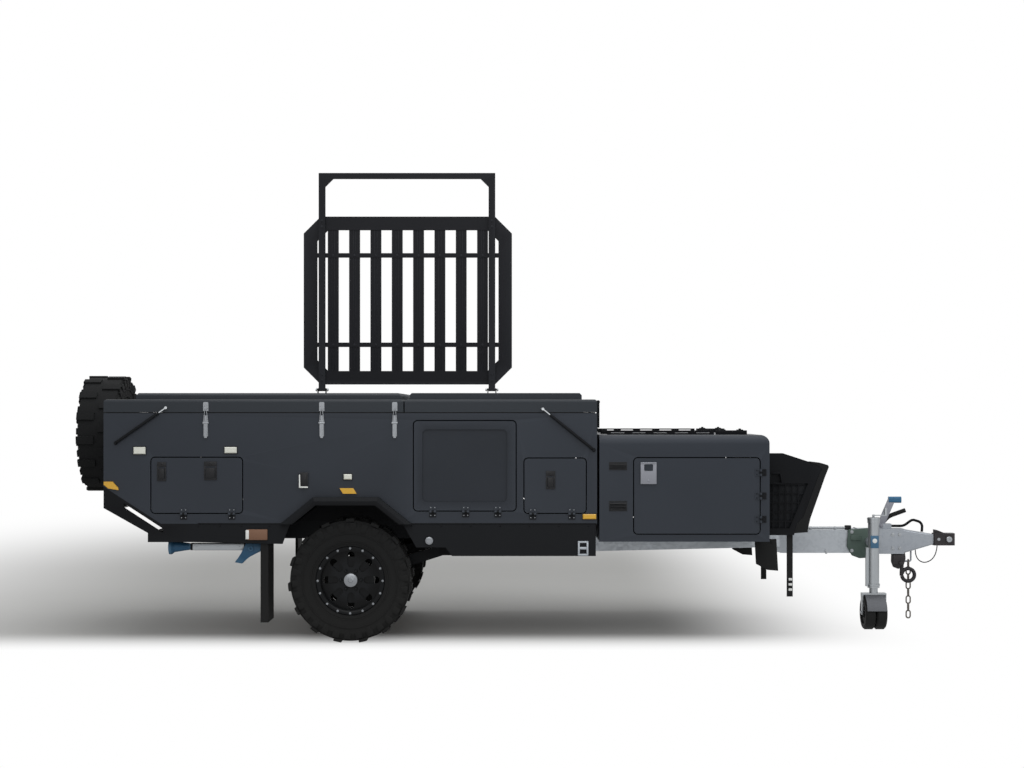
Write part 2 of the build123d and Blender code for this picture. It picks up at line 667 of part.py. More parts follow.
def box_rails():
    """Two slotted channel rails along the top of the box."""
    rails = []
    start = BOX_REAR + 60
    length = 700.0
    pitch = length / BOX_RAIL_SLOTS
    for y in BOX_RAIL_Y:
        rail = block(
            start,
            start + length,
            y - BOX_RAIL_WIDTH / 2,
            y + BOX_RAIL_WIDTH / 2,
            BOX_TOP_Z,
            BOX_TOP_Z + BOX_RAIL_HEIGHT,
        )
        rail -= block(
            start - 1,
            start + length + 1,
            y - BOX_RAIL_WIDTH / 2 + BOX_RAIL_SHEET,
            y + BOX_RAIL_WIDTH / 2 - BOX_RAIL_SHEET,
            BOX_TOP_Z + BOX_RAIL_SHEET,
            BOX_TOP_Z + BOX_RAIL_HEIGHT + 1,
        )
        for index in range(BOX_RAIL_SLOTS):
            middle = start + pitch * (index + 0.5)
            rail -= block(
                middle - pitch * 0.32,
                middle + pitch * 0.32,
                y - BOX_RAIL_WIDTH,
                y + BOX_RAIL_WIDTH,
                BOX_TOP_Z + 10,
                BOX_TOP_Z + 20,
            )
        rails.append(rail)
    return rails


# Lids

LID_BOTTOM_Z = SEAM_Z + SEAM_GAP
REAR_LID_AXIS = BODY_REAR - LID_HINGE_OFFSET
FRONT_LID_AXIS = BODY_FRONT + LID_HINGE_OFFSET
LID_KNUCKLE = LID_HINGE_WIDTH / 6


def lid(x0, x1):
    """A hollow lid with skirts on all four sides."""
    half = BODY_HALF_WIDTH
    shell = block(x0, x1, -half, half, LID_BOTTOM_Z, LID_EDGE_Z)
    shell = fillet(shell.edges().group_by(Axis.Z)[-1], LID_ROUND)
    inner = half - LID_SKIRT
    return shell - block(x0 + LID_SKIRT, x1 - LID_SKIRT, -inner, inner, LID_BOTTOM_Z - 1, LID_EDGE_Z - LID_PLATE)


def lid_rail(x0, x1):
    """The raised rail that runs round the top of a lid."""
    outer = BODY_HALF_WIDTH - LID_BAND_INSET
    inner = outer - LID_BAND_WIDTH
    rail = block(x0, x1, -outer, outer, LID_EDGE_Z, LID_BAND_Z)
    rail -= block(x0 + LID_BAND_WIDTH, x1 - LID_BAND_WIDTH, -inner, inner, LID_EDGE_Z - 1, LID_BAND_Z + 1)
    return chamfer(rail.edges().group_by(Axis.Z)[-1].filter_by(lambda edge: edge.length > 2 * inner + 20), 14)


def lid_knuckles(axis_x, lid_end):
    """The middle hinge knuckles, on webs from the lid's end."""
    pieces = []
    for y in (-LID_HINGE_Y, LID_HINGE_Y):
        knuckle = rod((axis_x, y - LID_KNUCKLE, LID_HINGE_Z), (axis_x, y + LID_KNUCKLE, LID_HINGE_Z), LID_HINGE_RADIUS)
        web = block(axis_x, lid_end, y - LID_KNUCKLE, y + LID_KNUCKLE, LID_HINGE_Z - 8, LID_HINGE_Z + 8)
        bore = rod((axis_x, y - LID_HINGE_WIDTH, LID_HINGE_Z), (axis_x, y + LID_HINGE_WIDTH, LID_HINGE_Z), 5 + PIN_PLAY)
        pieces.append(fuse(knuckle, web) - bore)
    return pieces


def lid_hinge_brackets(axis_x, wall_x):
    """The brackets that stand up from an end wall, with their outer knuckles and pins."""
    toward_wall = 1 if wall_x > axis_x else -1
    plate = 8 * toward_wall
    half = LID_HINGE_WIDTH / 2
    gap = LID_KNUCKLE + HINGE_PLAY
    pieces = []
    for y in (-LID_HINGE_Y, LID_HINGE_Y):
        foot = block(axis_x - plate, wall_x, y - half, y + half, LID_HINGE_Z - 170, SEAM_Z - 6)
        parts = [foot, rod((axis_x, y - half, LID_HINGE_Z), (axis_x, y + half, LID_HINGE_Z), 5)]
        for low, high in ((y - half, y - gap), (y + gap, y + half)):
            parts.append(block(axis_x - plate, axis_x + plate, low, high, SEAM_Z - 20, LID_HINGE_Z))
            parts.append(rod((axis_x, low, LID_HINGE_Z), (axis_x, high, LID_HINGE_Z), LID_HINGE_RADIUS))
        pieces.append(fuse(*parts))
    return pieces


# Over-centre latches between the rear lid and the side walls

LATCHES_X = (-931.0, -182.0, 289.0)
HOOK_Z = 1514.0


def latch_hook_near(x):
    """The hook plate on the lid's skirt."""
    y = -BODY_HALF_WIDTH
    plate = block(x - 17, x + 17, y - 4, y, HOOK_Z - 14, HOOK_Z + 44)
    plate = fillet(plate.edges().filter_by(Axis.Y).group_by(Axis.Z)[-1], 8)
    lip = block(x - 11, x + 11, y - 13, y - 3, HOOK_Z, HOOK_Z + 7)
    return fuse(plate, lip)


def latch_body_near(x):
    """The base, the lever and the V-shaped bail on the wall."""
    y = -BODY_HALF_WIDTH
    base = block(x - 14, x + 14, y - 5, y, SEAM_Z - 150, SEAM_Z - 14)
    lever_points = [(x - 12, SEAM_Z - 60), (x + 12, SEAM_Z - 60), (x + 8, SEAM_Z - 160), (x - 8, SEAM_Z - 160)]
    lever = side_plate(lever_points, y - 12, y - 4)
    pivot = rod((x - 19, y - 9, SEAM_Z - 64), (x + 19, y - 9, SEAM_Z - 64), 6)
    bail_top = HOOK_Z - 8
    bail = [
        rod((x - 16, y - 9, SEAM_Z - 64), (x - 5, y - 9, bail_top), 2.5),
        rod((x + 16, y - 9, SEAM_Z - 64), (x + 5, y - 9, bail_top), 2.5),
        rod((x - 7, y - 9, bail_top), (x + 7, y - 9, bail_top), 2.5),
    ]
    return fuse(base, lever, pivot, *bail)


# Gas struts, drawn at the near side

def strut_along(low, high):
    """The unit direction of a strut, as X and Z parts, and its length."""
    length = hypot(high[0] - low[0], high[1] - low[1])
    return (high[0] - low[0]) / length, (high[1] - low[1]) / length, length


def strut_point(low, high, distance):
    """A point on a near-side strut's line, measured from its lower eye."""
    along_x, along_z, _ = strut_along(low, high)
    return (low[0] + along_x * distance, -STRUT_Y, low[1] + along_z * distance)


def strut_eye(place):
    """An eye ring round a pin along Y."""
    x, z = place
    return rod((x, -STRUT_Y - 4, z), (x, -STRUT_Y + 4, z), STRUT_EYE_RADIUS)


def strut_tube_near(low, high):
    """The pressure tube with its lower eye."""
    length = strut_along(low, high)[2] * STRUT_TUBE_SHARE
    body = rod(strut_point(low, high, STRUT_EYE_RADIUS + 3), strut_point(low, high, length), STRUT_TUBE_RADIUS)
    neck = rod(strut_point(low, high, 0), strut_point(low, high, STRUT_EYE_RADIUS + 4), 3.5)
    bore = rod(strut_point(low, high, 30), strut_point(low, high, length + 1), STRUT_ROD_RADIUS + PIN_PLAY)
    x, z = low
    pin_bore = rod((x, -STRUT_Y - 5, z), (x, -STRUT_Y + 5, z), 4 + PIN_PLAY)
    return fuse(body, neck, strut_eye(low)) - bore - pin_bore


def strut_rod_near(low, high):
    """The rod with its upper eye, which stands clear of its stud."""
    length = strut_along(low, high)[2]
    shaft = rod(strut_point(low, high, 45), strut_point(low, high, length), STRUT_ROD_RADIUS)
    return fuse(shaft, strut_eye(high))


def strut_low_pin_near(low):
    """The pin on the wall that carries a strut's lower eye."""
    x, z = low
    head = rod((x, -STRUT_Y - 7.5, z), (x, -STRUT_Y - 4.5, z), 6)
    flange = rod((x, -BODY_HALF_WIDTH - 4, z), (x, -BODY_HALF_WIDTH, z), 12)
    return fuse(rod((x, -STRUT_Y - 6, z), (x, -BODY_HALF_WIDTH, z), 4), head, flange)


def strut_high_stud_near(high):
    """The short stud plate on the lid's skirt."""
    x, z = high
    return rod((x, -BODY_HALF_WIDTH - 6, z), (x, -BODY_HALF_WIDTH, z), 12)


# Rack, raised on the far side

RACK_PIVOT_Y = RACK_LEG_INNER_Y + RACK_LEG_DEPTH / 2
RACK_DECK_INNER_Y = RACK_LEG_INNER_Y + RACK_LEG_DEPTH
RACK_DECK_OUTER_Y = RACK_DECK_INNER_Y + RACK_DECK_DEPTH
RACK_PIN_RADIUS = 6.0


def rack_deck():
    """The deck: a frame with cut corners, its slats and two bars."""
    x0, x1, z0, z1 = RACK_REAR, RACK_FRONT, RACK_DECK_LOW_Z, RACK_DECK_HIGH_Z
    cut = RACK_CORNER
    outline = [
        (x0 + cut, z0),
        (x1 - cut, z0),
        (x1, z0 + cut),
        (x1, z1 - cut),
        (x1 - cut, z1),
        (x0 + cut, z1),
        (x0, z1 - cut),
        (x0, z0 + cut),
    ]
    deck = side_plate(outline, RACK_DECK_INNER_Y, RACK_DECK_OUTER_Y)
    inner_x0, inner_x1 = x0 + RACK_FRAME, x1 - RACK_FRAME
    inner_z0, inner_z1 = z0 + RACK_FRAME, z1 - RACK_FRAME
    inner_cut = cut - RACK_FRAME * 0.45
    field = [
        (inner_x0 + inner_cut, inner_z0),
        (inner_x1 - inner_cut, inner_z0),
        (inner_x1, inner_z0 + inner_cut),
        (inner_x1, inner_z1 - inner_cut),
        (inner_x1 - inner_cut, inner_z1),
        (inner_x0 + inner_cut, inner_z1),
        (inner_x0, inner_z1 - inner_cut),
        (inner_x0, inner_z0 + inner_cut),
    ]
    deck -= side_plate(field, RACK_DECK_INNER_Y - 1, RACK_DECK_OUTER_Y + 1)
    pieces = [deck]
    gap = (inner_x1 - inner_x0 - RACK_SLATS * RACK_SLAT_WIDTH) / (RACK_SLATS + 1)
    for index in range(RACK_SLATS):
        low = inner_x0 + gap + index * (gap + RACK_SLAT_WIDTH)
        pieces.append(
            block(low, low + RACK_SLAT_WIDTH, RACK_DECK_INNER_Y + 5, RACK_DECK_OUTER_Y, inner_z0 - 4, inner_z1 + 4)
        )
    for z in RACK_BARS_Z:
        pieces.append(
            block(
                inner_x0 - 4,
                inner_x1 + 4,
                RACK_DECK_INNER_Y,
                RACK_DECK_INNER_Y + 12,
                z - RACK_BAR_WIDTH / 2,
                z + RACK_BAR_WIDTH / 2,
            )
        )
    return fuse(*pieces)


def rack_legs():
    """The U-shaped frame: two legs on their pivots, the top bar and its corner gussets."""
    half = RACK_LEG_WIDTH / 2
    y0, y1 = RACK_LEG_INNER_Y, RACK_LEG_INNER_Y + RACK_LEG_DEPTH
    round_end = RACK_LEG_DEPTH / 2
    pieces = [block(RACK_LEGS[0] - half, RACK_LEGS[1] + half, y0, y1, RACK_TOP_Z - 44, RACK_TOP_Z)]
    for x, inward in zip(RACK_LEGS, (1, -1)):
        pieces.append(block(x - half, x + half, y0, y1, RACK_HINGE_Z, RACK_TOP_Z))
        pieces.append(rod((x - half, RACK_PIVOT_Y, RACK_HINGE_Z), (x + half, RACK_PIVOT_Y, RACK_HINGE_Z), round_end))
        corner = x + inward * half
        gusset = [(corner, RACK_TOP_Z - 44), (corner + inward * 60, RACK_TOP_Z - 44), (corner, RACK_TOP_Z - 104)]
        pieces.append(side_plate(gusset, y0, y1))
    frame = fuse(*pieces)
    for x in RACK_LEGS:
        start = (x - half - 1, RACK_PIVOT_Y, RACK_HINGE_Z)
        frame -= rod(start, (x + half + 1, RACK_PIVOT_Y, RACK_HINGE_Z), RACK_PIN_RADIUS + PIN_PLAY)
    return frame


def rack_brackets():
    """The two forked brackets on the far wall, with their pins."""
    pieces = []
    wall = BODY_HALF_WIDTH
    for x in RACK_LEGS:
        inner = RACK_LEG_WIDTH / 2 + 1
        outer = inner + 8
        foot = block(x - outer, x + outer, wall, wall + 9, SEAM_Z - 130, SEAM_Z - 8)
        pin = rod((x - outer - 6, RACK_PIVOT_Y, RACK_HINGE_Z), (x + outer + 6, RACK_PIVOT_Y, RACK_HINGE_Z), RACK_PIN_RADIUS)
        parts = [foot, pin]
        cheek = [
            (wall + 8, SEAM_Z - 130),
            (RACK_PIVOT_Y, SEAM_Z - 130),
            (RACK_PIVOT_Y + 14, SEAM_Z - 60),
            (RACK_PIVOT_Y + 14, RACK_HINGE_Z + 12),
            (RACK_PIVOT_Y - 14, RACK_HINGE_Z + 12),
            (wall + 10, SEAM_Z + 60),
            (wall + 10, SEAM_Z - 10),
            (wall + 8, SEAM_Z - 10),
        ]
        for low, high in ((x - outer, x - inner), (x + inner, x + outer)):
            parts.append(cross_plate(cheek, low, high))
        parts.append(block(x - inner - 1, x + inner + 1, wall + 8, wall + 17, SEAM_Z - 130, SEAM_Z + 60))
        pieces.append(fuse(*parts))
    return pieces


# Spare wheel on its swing carrier

SPARE_X = SPARE_REAR + TYRE_WIDTH / 2
SPARE_DISC_BACK = SPARE_X + RIM_DISC_Y
ARM_FRONT_X = SPARE_HINGE_X + 50
CARRIER_PLAY = 0.3


def spare_wheel(piece):
    """A wheel piece turned to face the rear, at the spare's place."""
    return Pos(SPARE_X, 0, SPARE_CENTRE_Z) * Rot(Z=-90) * piece


def spare_carrier():
    """The swing arm on its barrel, the post and the mount that the rim sits on."""
    half = SPARE_ARM / 2
    low, high = SPARE_ARM_Z - half, SPARE_ARM_Z + half
    barrel = rod((SPARE_HINGE_X, SPARE_HINGE_Y, low - 5), (SPARE_HINGE_X, SPARE_HINGE_Y, high + 5), 18)
    knee = block(SPARE_HINGE_X, ARM_FRONT_X, SPARE_HINGE_Y - 32, SPARE_HINGE_Y, low, high)
    arm = block(ARM_FRONT_X - 32, ARM_FRONT_X, -half * 2, SPARE_HINGE_Y - 20, low, high)
    post = block(ARM_FRONT_X - 26, ARM_FRONT_X, -half * 2, half * 2, high - 2, SPARE_CENTRE_Z + 60)
    seat = SPARE_DISC_BACK + SEAT
    mount = rod((seat, 0, SPARE_CENTRE_Z), (ARM_FRONT_X - 2, 0, SPARE_CENTRE_Z), 72)
    mount -= rod((seat + 14, 0, SPARE_CENTRE_Z), (ARM_FRONT_X - 27, 0, SPARE_CENTRE_Z), 60)
    spigot = rod((seat - 30, 0, SPARE_CENTRE_Z), (ARM_FRONT_X - 4, 0, SPARE_CENTRE_Z), HUB_RADIUS - 2)
    carrier = fuse(barrel, knee, arm, post, mount, spigot)
    start = (SPARE_HINGE_X, SPARE_HINGE_Y, low - 10)
    return carrier - rod(start, (SPARE_HINGE_X, SPARE_HINGE_Y, high + 10), 9 + PIN_PLAY)


def carrier_hinge():
    """The fork on the bumper's far end, with the pin of the swing arm."""
    half = SPARE_ARM / 2 + 5 + CARRIER_PLAY
    low, high = SPARE_ARM_Z - half, SPARE_ARM_Z + half
    back = ARM_FRONT_X + 5
    y0, y1 = SPARE_HINGE_Y - 18, BODY_HALF_WIDTH - 20
    parts = [block(back, BODY_REAR + 8, y0, y1, low - 14, high + 14)]
    for z0, z1 in ((low - 14, low), (high, high + 14)):
        parts.append(block(SPARE_HINGE_X, back + 1, y0, y1, z0, z1))
        parts.append(rod((SPARE_HINGE_X, SPARE_HINGE_Y, z0), (SPARE_HINGE_X, SPARE_HINGE_Y, z1), 18))
    start = (SPARE_HINGE_X, SPARE_HINGE_Y, low - 18)
    parts.append(rod(start, (SPARE_HINGE_X, SPARE_HINGE_Y, high + 18), 9))
    return fuse(*parts)


# Bumper, sills and chassis

PLATE_SHEET = 20.0
PLATE_KINK_X = -1306.0
PLATE_KINK_Z = 712.0
PLATE_LOW_Z = 873.0
PLATE_FRONT_X = -1015.0
SLOT_REAR = (-1461.0, 890.0)
SLOT_FRONT = (-1208.0, 726.0)
SLOT_HALF = 14.0


def bumper_plate_near():
    """The plate under the slanted corner, with its long slot."""
    outline = [
        (BODY_REAR, SLANT_TOP_Z),
        (BODY_REAR, PLATE_LOW_Z),
        (PLATE_KINK_X, PLATE_KINK_Z),
        (PLATE_KINK_X, SILL_REAR_BOTTOM_Z),
        (PLATE_FRONT_X, SILL_REAR_BOTTOM_Z),
        (PLATE_FRONT_X, FLOOR_Z),
        (BODY_REAR + REAR_SLANT_RUN, FLOOR_Z),
    ]
    plate = side_plate(outline, -BODY_HALF_WIDTH, -BODY_HALF_WIDTH + PLATE_SHEET)
    slot = [
        (SLOT_REAR[0], SLOT_REAR[1] + SLOT_HALF),
        (SLOT_REAR[0], SLOT_REAR[1] - SLOT_HALF),
        (SLOT_FRONT[0], SLOT_FRONT[1] - SLOT_HALF),
        (SLOT_FRONT[0], SLOT_FRONT[1] + SLOT_HALF),
    ]
    return plate - side_plate(slot, -BODY_HALF_WIDTH - 1, -BODY_HALF_WIDTH + PLATE_SHEET + 1)


def rear_bumper():
    """Both side plates and the bar between them."""
    inner = BODY_HALF_WIDTH - PLATE_SHEET
    bar = block(BODY_REAR + 8, BODY_REAR + 58, -inner - 2, inner + 2, SPARE_ARM_Z - 40, SPARE_ARM_Z + 40)
    low_z, high_z = CHASSIS_BOTTOM_Z + 20, CHASSIS_BOTTOM_Z + 60
    low_bar = block(PLATE_KINK_X + 10, PLATE_KINK_X + 60, -inner - 2, inner + 2, low_z, high_z)
    brace = CHASSIS_RAIL_WIDTH / 2
    links = []
    for y in (-CHASSIS_RAIL_Y, CHASSIS_RAIL_Y):
        links.append(block(PLATE_KINK_X + 58, CHASSIS_REAR, y - brace, y + brace, low_z, high_z))
    return fuse(*both_sides(bumper_plate_near()), bar, low_bar, *links)


def sill_panels_near():
    """The black skirts under the side wall, behind and before the wheel."""
    y0, y1 = -BODY_HALF_WIDTH, -BODY_HALF_WIDTH + SILL_SHEET
    rear = side_plate(
        [
            (PLATE_FRONT_X, FLOOR_Z),
            (ARCH_FOOT_REAR - 12, FLOOR_Z),
            (ARCH_FOOT_REAR - 60, SILL_REAR_BOTTOM_Z - 12),
            (PLATE_FRONT_X, SILL_REAR_BOTTOM_Z),
        ],
        y0,
        y1,
    )
    front = side_plate(
        [
            (ARCH_FOOT_FRONT + 12, FLOOR_Z),
            (BODY_FRONT - 8, FLOOR_Z),
            (BODY_FRONT - 8, SILL_FRONT_BOTTOM_Z + 6),
            (ARCH_FOOT_FRONT + 330, SILL_FRONT_BOTTOM_Z + 6),
            (ARCH_FOOT_FRONT + 290, SILL_FRONT_BOTTOM_Z + 62),
            (ARCH_FOOT_FRONT + 100, SILL_FRONT_BOTTOM_Z + 62),
        ],
        y0,
        y1,
    )
    return [rear, front]


def chassis_frame():
    """Two long rails, the cross members between them and the outriggers to the sills."""
    half = CHASSIS_RAIL_WIDTH / 2
    inner, outer = CHASSIS_RAIL_Y - half, CHASSIS_RAIL_Y + half
    pieces = []
    for side in (-1, 1):
        pieces.append(block(CHASSIS_REAR, BODY_FRONT - 6, side * inner, side * outer, CHASSIS_BOTTOM_Z, FLOOR_Z))
    for x in CROSS_MEMBERS:
        low = CHASSIS_BOTTOM_Z if x > DRAWBAR_REAR else CHASSIS_BOTTOM_Z + 45
        x0, x1 = x - CROSS_MEMBER_WIDTH / 2, x + CROSS_MEMBER_WIDTH / 2
        pieces.append(block(x0, x1, -inner + SEAT, inner - SEAT, low, FLOOR_Z))
        reach = BODY_HALF_WIDTH - (PLATE_SHEET if x < PLATE_FRONT_X else SILL_SHEET)
        for side in (-1, 1):
            pieces.append(block(x0, x1, side * (outer + SEAT), side * reach, FLOOR_Z - 50, FLOOR_Z))
    return pieces


def drawbar():
    """The two converging rails and the nose beam they are welded to."""
    middle_z = CHASSIS_BOTTOM_Z - DRAWBAR_DEPTH / 2
    pieces = []
    for side in (-1, 1):
        start = (DRAWBAR_REAR, side * DRAWBAR_REAR_Y, middle_z)
        pieces.append(beam(start, (DRAWBAR_MEET + 40, side * 39, middle_z), DRAWBAR_WIDTH, DRAWBAR_DEPTH))
    half = NOSE_WIDTH / 2
    nose = block(DRAWBAR_MEET - 100, NOSE_FRONT, -half, half, NOSE_BOTTOM_Z, NOSE_TOP_Z)
    slope = side_plate(
        [
            (DRAWBAR_MEET - 101, NOSE_BOTTOM_Z - 1),
            (DRAWBAR_MEET + 60, NOSE_BOTTOM_Z - 1),
            (DRAWBAR_MEET - 101, NOSE_BOTTOM_Z + DRAWBAR_DEPTH / 2),
        ],
        -half - 1,
        half + 1,
    )
    return fuse(*pieces, nose - slope)


# Stone guard

GUARD_REAR = BOX_FRONT
GUARD_BOTTOM_Z = CHASSIS_BOTTOM_Z + GUARD_FOOT
GUARD_MOUTH = 215.0

MESH_BAR = 7.0
MESH_UPRIGHTS = 13
MESH_LEVELS = 5


GUARD_SLOPE = 100 / (GUARD_TOP_Z - 143 - (GUARD_BOTTOM_Z + 121))


def guard_front_x(z, depth):
    """The X of the sloping front sheet at a height, measured a depth behind its face."""
    rise = z - (GUARD_BOTTOM_Z + 121)
    return GUARD_TIP - 125 + rise * GUARD_SLOPE - depth * hypot(1, GUARD_SLOPE)


def guard_outline(inset):
    """The guard's side outline, drawn smaller by an inset on every side but the rear."""
    rear, tip = GUARD_REAR, GUARD_TIP
    return [
        (rear - (1 if inset else 0), GUARD_TOP_Z - inset),
        (rear + 130, GUARD_TOP_Z - inset),
        (tip - 90, GUARD_TOP_Z - 58 - inset),
        (tip - 25 - inset * 0.5, GUARD_TOP_Z - 74 - inset),
        (tip - inset, GUARD_TOP_Z - 104),
        (tip - 25 - inset, GUARD_TOP_Z - 143),
        (tip - 125 - inset, GUARD_BOTTOM_Z + 121),
        (tip - 170 - inset, GUARD_BOTTOM_Z + 75),
        (tip - 195 - inset, GUARD_BOTTOM_Z + inset),
        (rear - (1 if inset else 0), GUARD_BOTTOM_Z + inset),
    ]


def stone_guard():
    """The sheet guard: a hood, floor and sides with mesh openings, open at the box and behind its hood."""
    half = GUARD_HALF_WIDTH
    sheet = GUARD_SHEET
    shell = side_plate(guard_outline(0), -half, half)
    shell -= side_plate(guard_outline(sheet), -half + sheet, half - sheet)
    window = [
        (GUARD_REAR + 45, GUARD_BOTTOM_Z + 45),
        (GUARD_TIP - 225, GUARD_BOTTOM_Z + 45),
        (GUARD_TIP - 100, GUARD_TOP_Z - 200),
        (GUARD_REAR + 45, GUARD_TOP_Z - 200),
    ]
    shell -= side_plate(window, -half - 1, half + 1)
    lamp_cut = block(GUARD_TIP - 260, GUARD_TIP + 5, -half + 60, half - 60, GUARD_BOTTOM_Z + 150, GUARD_TOP_Z - 190)
    shell -= lamp_cut
    shell -= block(GUARD_REAR - 1, GUARD_REAR + GUARD_MOUTH, -half + 30, half - 30, GUARD_TOP_Z - 60, GUARD_TOP_Z + 1)
    feet = []
    for side in (-1, 1):
        middle = side * 95
        feet.append(block(GUARD_REAR + 20, GUARD_REAR + 70, middle - 30, middle + 30, CHASSIS_BOTTOM_Z, GUARD_BOTTOM_Z + 1))
    return fuse(shell, *feet)


def guard_mesh():
    """Square bars across the guard's front and side openings."""
    half = GUARD_HALF_WIDTH
    wire = MESH_BAR / 2
    behind = GUARD_SHEET + wire + SEAT
    tilt = Rot(Y=degrees(atan2(GUARD_SLOPE, 1)))
    low_z, high_z = GUARD_BOTTOM_Z + 140, GUARD_TOP_Z - 180
    pieces = []
    for index in range(1, MESH_UPRIGHTS):
        y = -half + 60 + (2 * half - 120) * index / MESH_UPRIGHTS
        middle_z = (low_z + high_z) / 2
        length = (high_z - low_z) * hypot(1, GUARD_SLOPE)
        pieces.append(Pos(guard_front_x(middle_z, behind), y, middle_z) * tilt * Box(MESH_BAR, MESH_BAR, length))
    for index in range(MESH_LEVELS):
        z = low_z + (high_z - low_z) * (index + 0.5) / MESH_LEVELS
        pieces.append(Pos(guard_front_x(z, behind), 0, z) * tilt * Box(MESH_BAR, 2 * half - 104, MESH_BAR))
    sides = []
    for side in (-1, 1):
        y = side * (half - behind)
        bars = []
        for index in range(MESH_LEVELS):
            x = GUARD_REAR + 65 + index * 42
            z = GUARD_BOTTOM_Z + 90 + index * 62
            bars.append(block(x - wire, x + wire, y - wire, y + wire, GUARD_BOTTOM_Z + 35, GUARD_TOP_Z - 190))
            bars.append(block(GUARD_REAR + 35, GUARD_REAR + 226 + index * 12, y - wire, y + wire, z - wire, z + wire))
        opening = side_plate(guard_outline(GUARD_SHEET + SEAT), y - 2 * wire, y + 2 * wire)
        sides.append(fuse(*bars) & opening)
    return [fuse(*pieces)] + sides


# Coupling, brake lever and chains

HEAD_REAR = NOSE_X - HEAD_LENGTH
HEAD_BORE_X = NOSE_X - 58
CHEEK = 8.0


def coupling_edges(x):
    """The lowest and highest Z of the tapered coupling body at an X."""
    low, high = NOSE_BOTTOM_Z - 2, NOSE_TOP_Z + 4
    share = (x - NOSE_FRONT - 38) / (HEAD_REAR + 6 - NOSE_FRONT - 38)
    end_low, end_high = HEAD_Z - HEAD_RADIUS * 0.85, HEAD_Z + HEAD_RADIUS * 0.85
    return low + (end_low - low) * share, high + (end_high - high) * share


def coupling():
    """The clamp plates on the nose beam and the tapered coupling body."""
    half = NOSE_WIDTH / 2
    low, high = NOSE_BOTTOM_Z - 6, NOSE_TOP_Z + 8
    plates = [
        block(NOSE_FRONT - 330, NOSE_FRONT + 40, half, half + CHEEK, low, high),
        block(NOSE_FRONT - 330, NOSE_FRONT + 40, -half, -half - CHEEK, low, high),
        block(NOSE_FRONT - 330, NOSE_FRONT + 40, -half - CHEEK, half + CHEEK, NOSE_TOP_Z, high),
        block(NOSE_FRONT, NOSE_FRONT + 40, -half - CHEEK, half + CHEEK, low, high),
    ]
    start = Plane(origin=(NOSE_FRONT + 38, 0, (low + high) / 2), x_dir=(0, 1, 0), z_dir=(1, 0, 0))
    end = Plane(origin=(HEAD_REAR + 6, 0, HEAD_Z), x_dir=(0, 1, 0), z_dir=(1, 0, 0))
    first = start * RectangleRounded(2 * (half + CHEEK) - 4, high - low - 8, 14)
    last = end * RectangleRounded(HEAD_RADIUS * 1.3, HEAD_RADIUS * 1.7, 10)
    return fuse(*plates, loft([first, last]))


def coupling_head():
    """The block coupler with its vertical pin bore and its latch wedge."""
    radius = HEAD_RADIUS
    body = block(HEAD_REAR + 6 + SEAT, NOSE_X, -radius, radius, HEAD_Z - radius, HEAD_Z + radius)
    body = fillet(body.edges().filter_by(Axis.Z), 16)
    wedge = side_plate(
        [
            (HEAD_REAR + 12, HEAD_Z + radius - 1),
            (HEAD_REAR + 92, HEAD_Z + radius - 1),
            (HEAD_REAR + 34, HEAD_Z + radius + 22),
            (HEAD_REAR + 12, HEAD_Z + radius + 26),
        ],
        -12,
        12,
    )
    cover = block(HEAD_REAR + 88, HEAD_REAR + 134, -radius - 4, -radius + 1, HEAD_Z - 22, HEAD_Z + 24)
    head = fuse(body, wedge, cover)
    return head - rod((HEAD_BORE_X, 0, HEAD_Z - radius - 1), (HEAD_BORE_X, 0, HEAD_Z + radius + 1), HEAD_BORE)


def round_sweep(points, radii, radius):
    """A round bar along straight runs joined by tangent arcs."""
    path = FilletPolyline(*points, radius=radii)
    start = Plane(origin=path @ 0, z_dir=path % 0)
    return sweep(start * Circle(radius), path=path)


LEVER_X = NOSE_FRONT - 116


def brake_lever():
    """The hand brake: its ratchet base, the bent arm and the curved release lever."""
    top = NOSE_TOP_Z + 8
    base = block(LEVER_X - 40, LEVER_X + 74, -26, 26, top, top + 34)
    base -= block(LEVER_X - 41, LEVER_X + 75, -14, 14, top + 8, top + 35)
    pivot = rod((LEVER_X + 2, -30, top + 20), (LEVER_X + 2, 30, top + 20), 9)
    arm_points = [
        (LEVER_X - 14, top + 10),
        (LEVER_X + 20, top + 10),
        (LEVER_X + 92, top + 196),
        (LEVER_X + 66, top + 206),
    ]
    arm = side_plate(arm_points, -9, 5)
    runs = [
        (LEVER_X + 8, 14 - 7, top + 26),
        (LEVER_X + 60, 14 - 7, top + 84),
        (LEVER_X + 176, 14 - 7, top + 126),
    ]
    release = round_sweep(runs, 90, 9)
    return fuse(base, pivot, arm, release)


def brake_grip():
    """The moulded grip across the arm's end."""
    top = NOSE_TOP_Z + 8
    grip = block(LEVER_X + 58, LEVER_X + 146, -19, 15, top + 178, top + 222)
    grip = fillet(grip.edges().filter_by(Axis.X), 14)
    slot = side_plate(
        [
            (LEVER_X + 64, top + 208),
            (LEVER_X + 94, top + 198),
            (LEVER_X + 88, top + 170),
            (LEVER_X + 48, top + 170),
        ],
        -9 - SEAT,
        5 + SEAT,
    )
    return grip - slot


def brake_rod():
    """The bent brake rod that runs forward and curves down to the coupling body."""
    top = NOSE_TOP_Z + 8
    radius = 9.0
    start_x = LEVER_X + 74 + SEAT
    points = [
        (start_x, 0, top + 17),
        (LEVER_X + 165, 0, top + 17),
        (LEVER_X + 226, 0, top + 62),
        (LEVER_X + 296, 0, top + 40),
        (LEVER_X + 292, 0, coupling_edges(LEVER_X + 292 - radius)[1] + 2),
    ]
    return round_sweep(points, [70, 34, 40], radius)


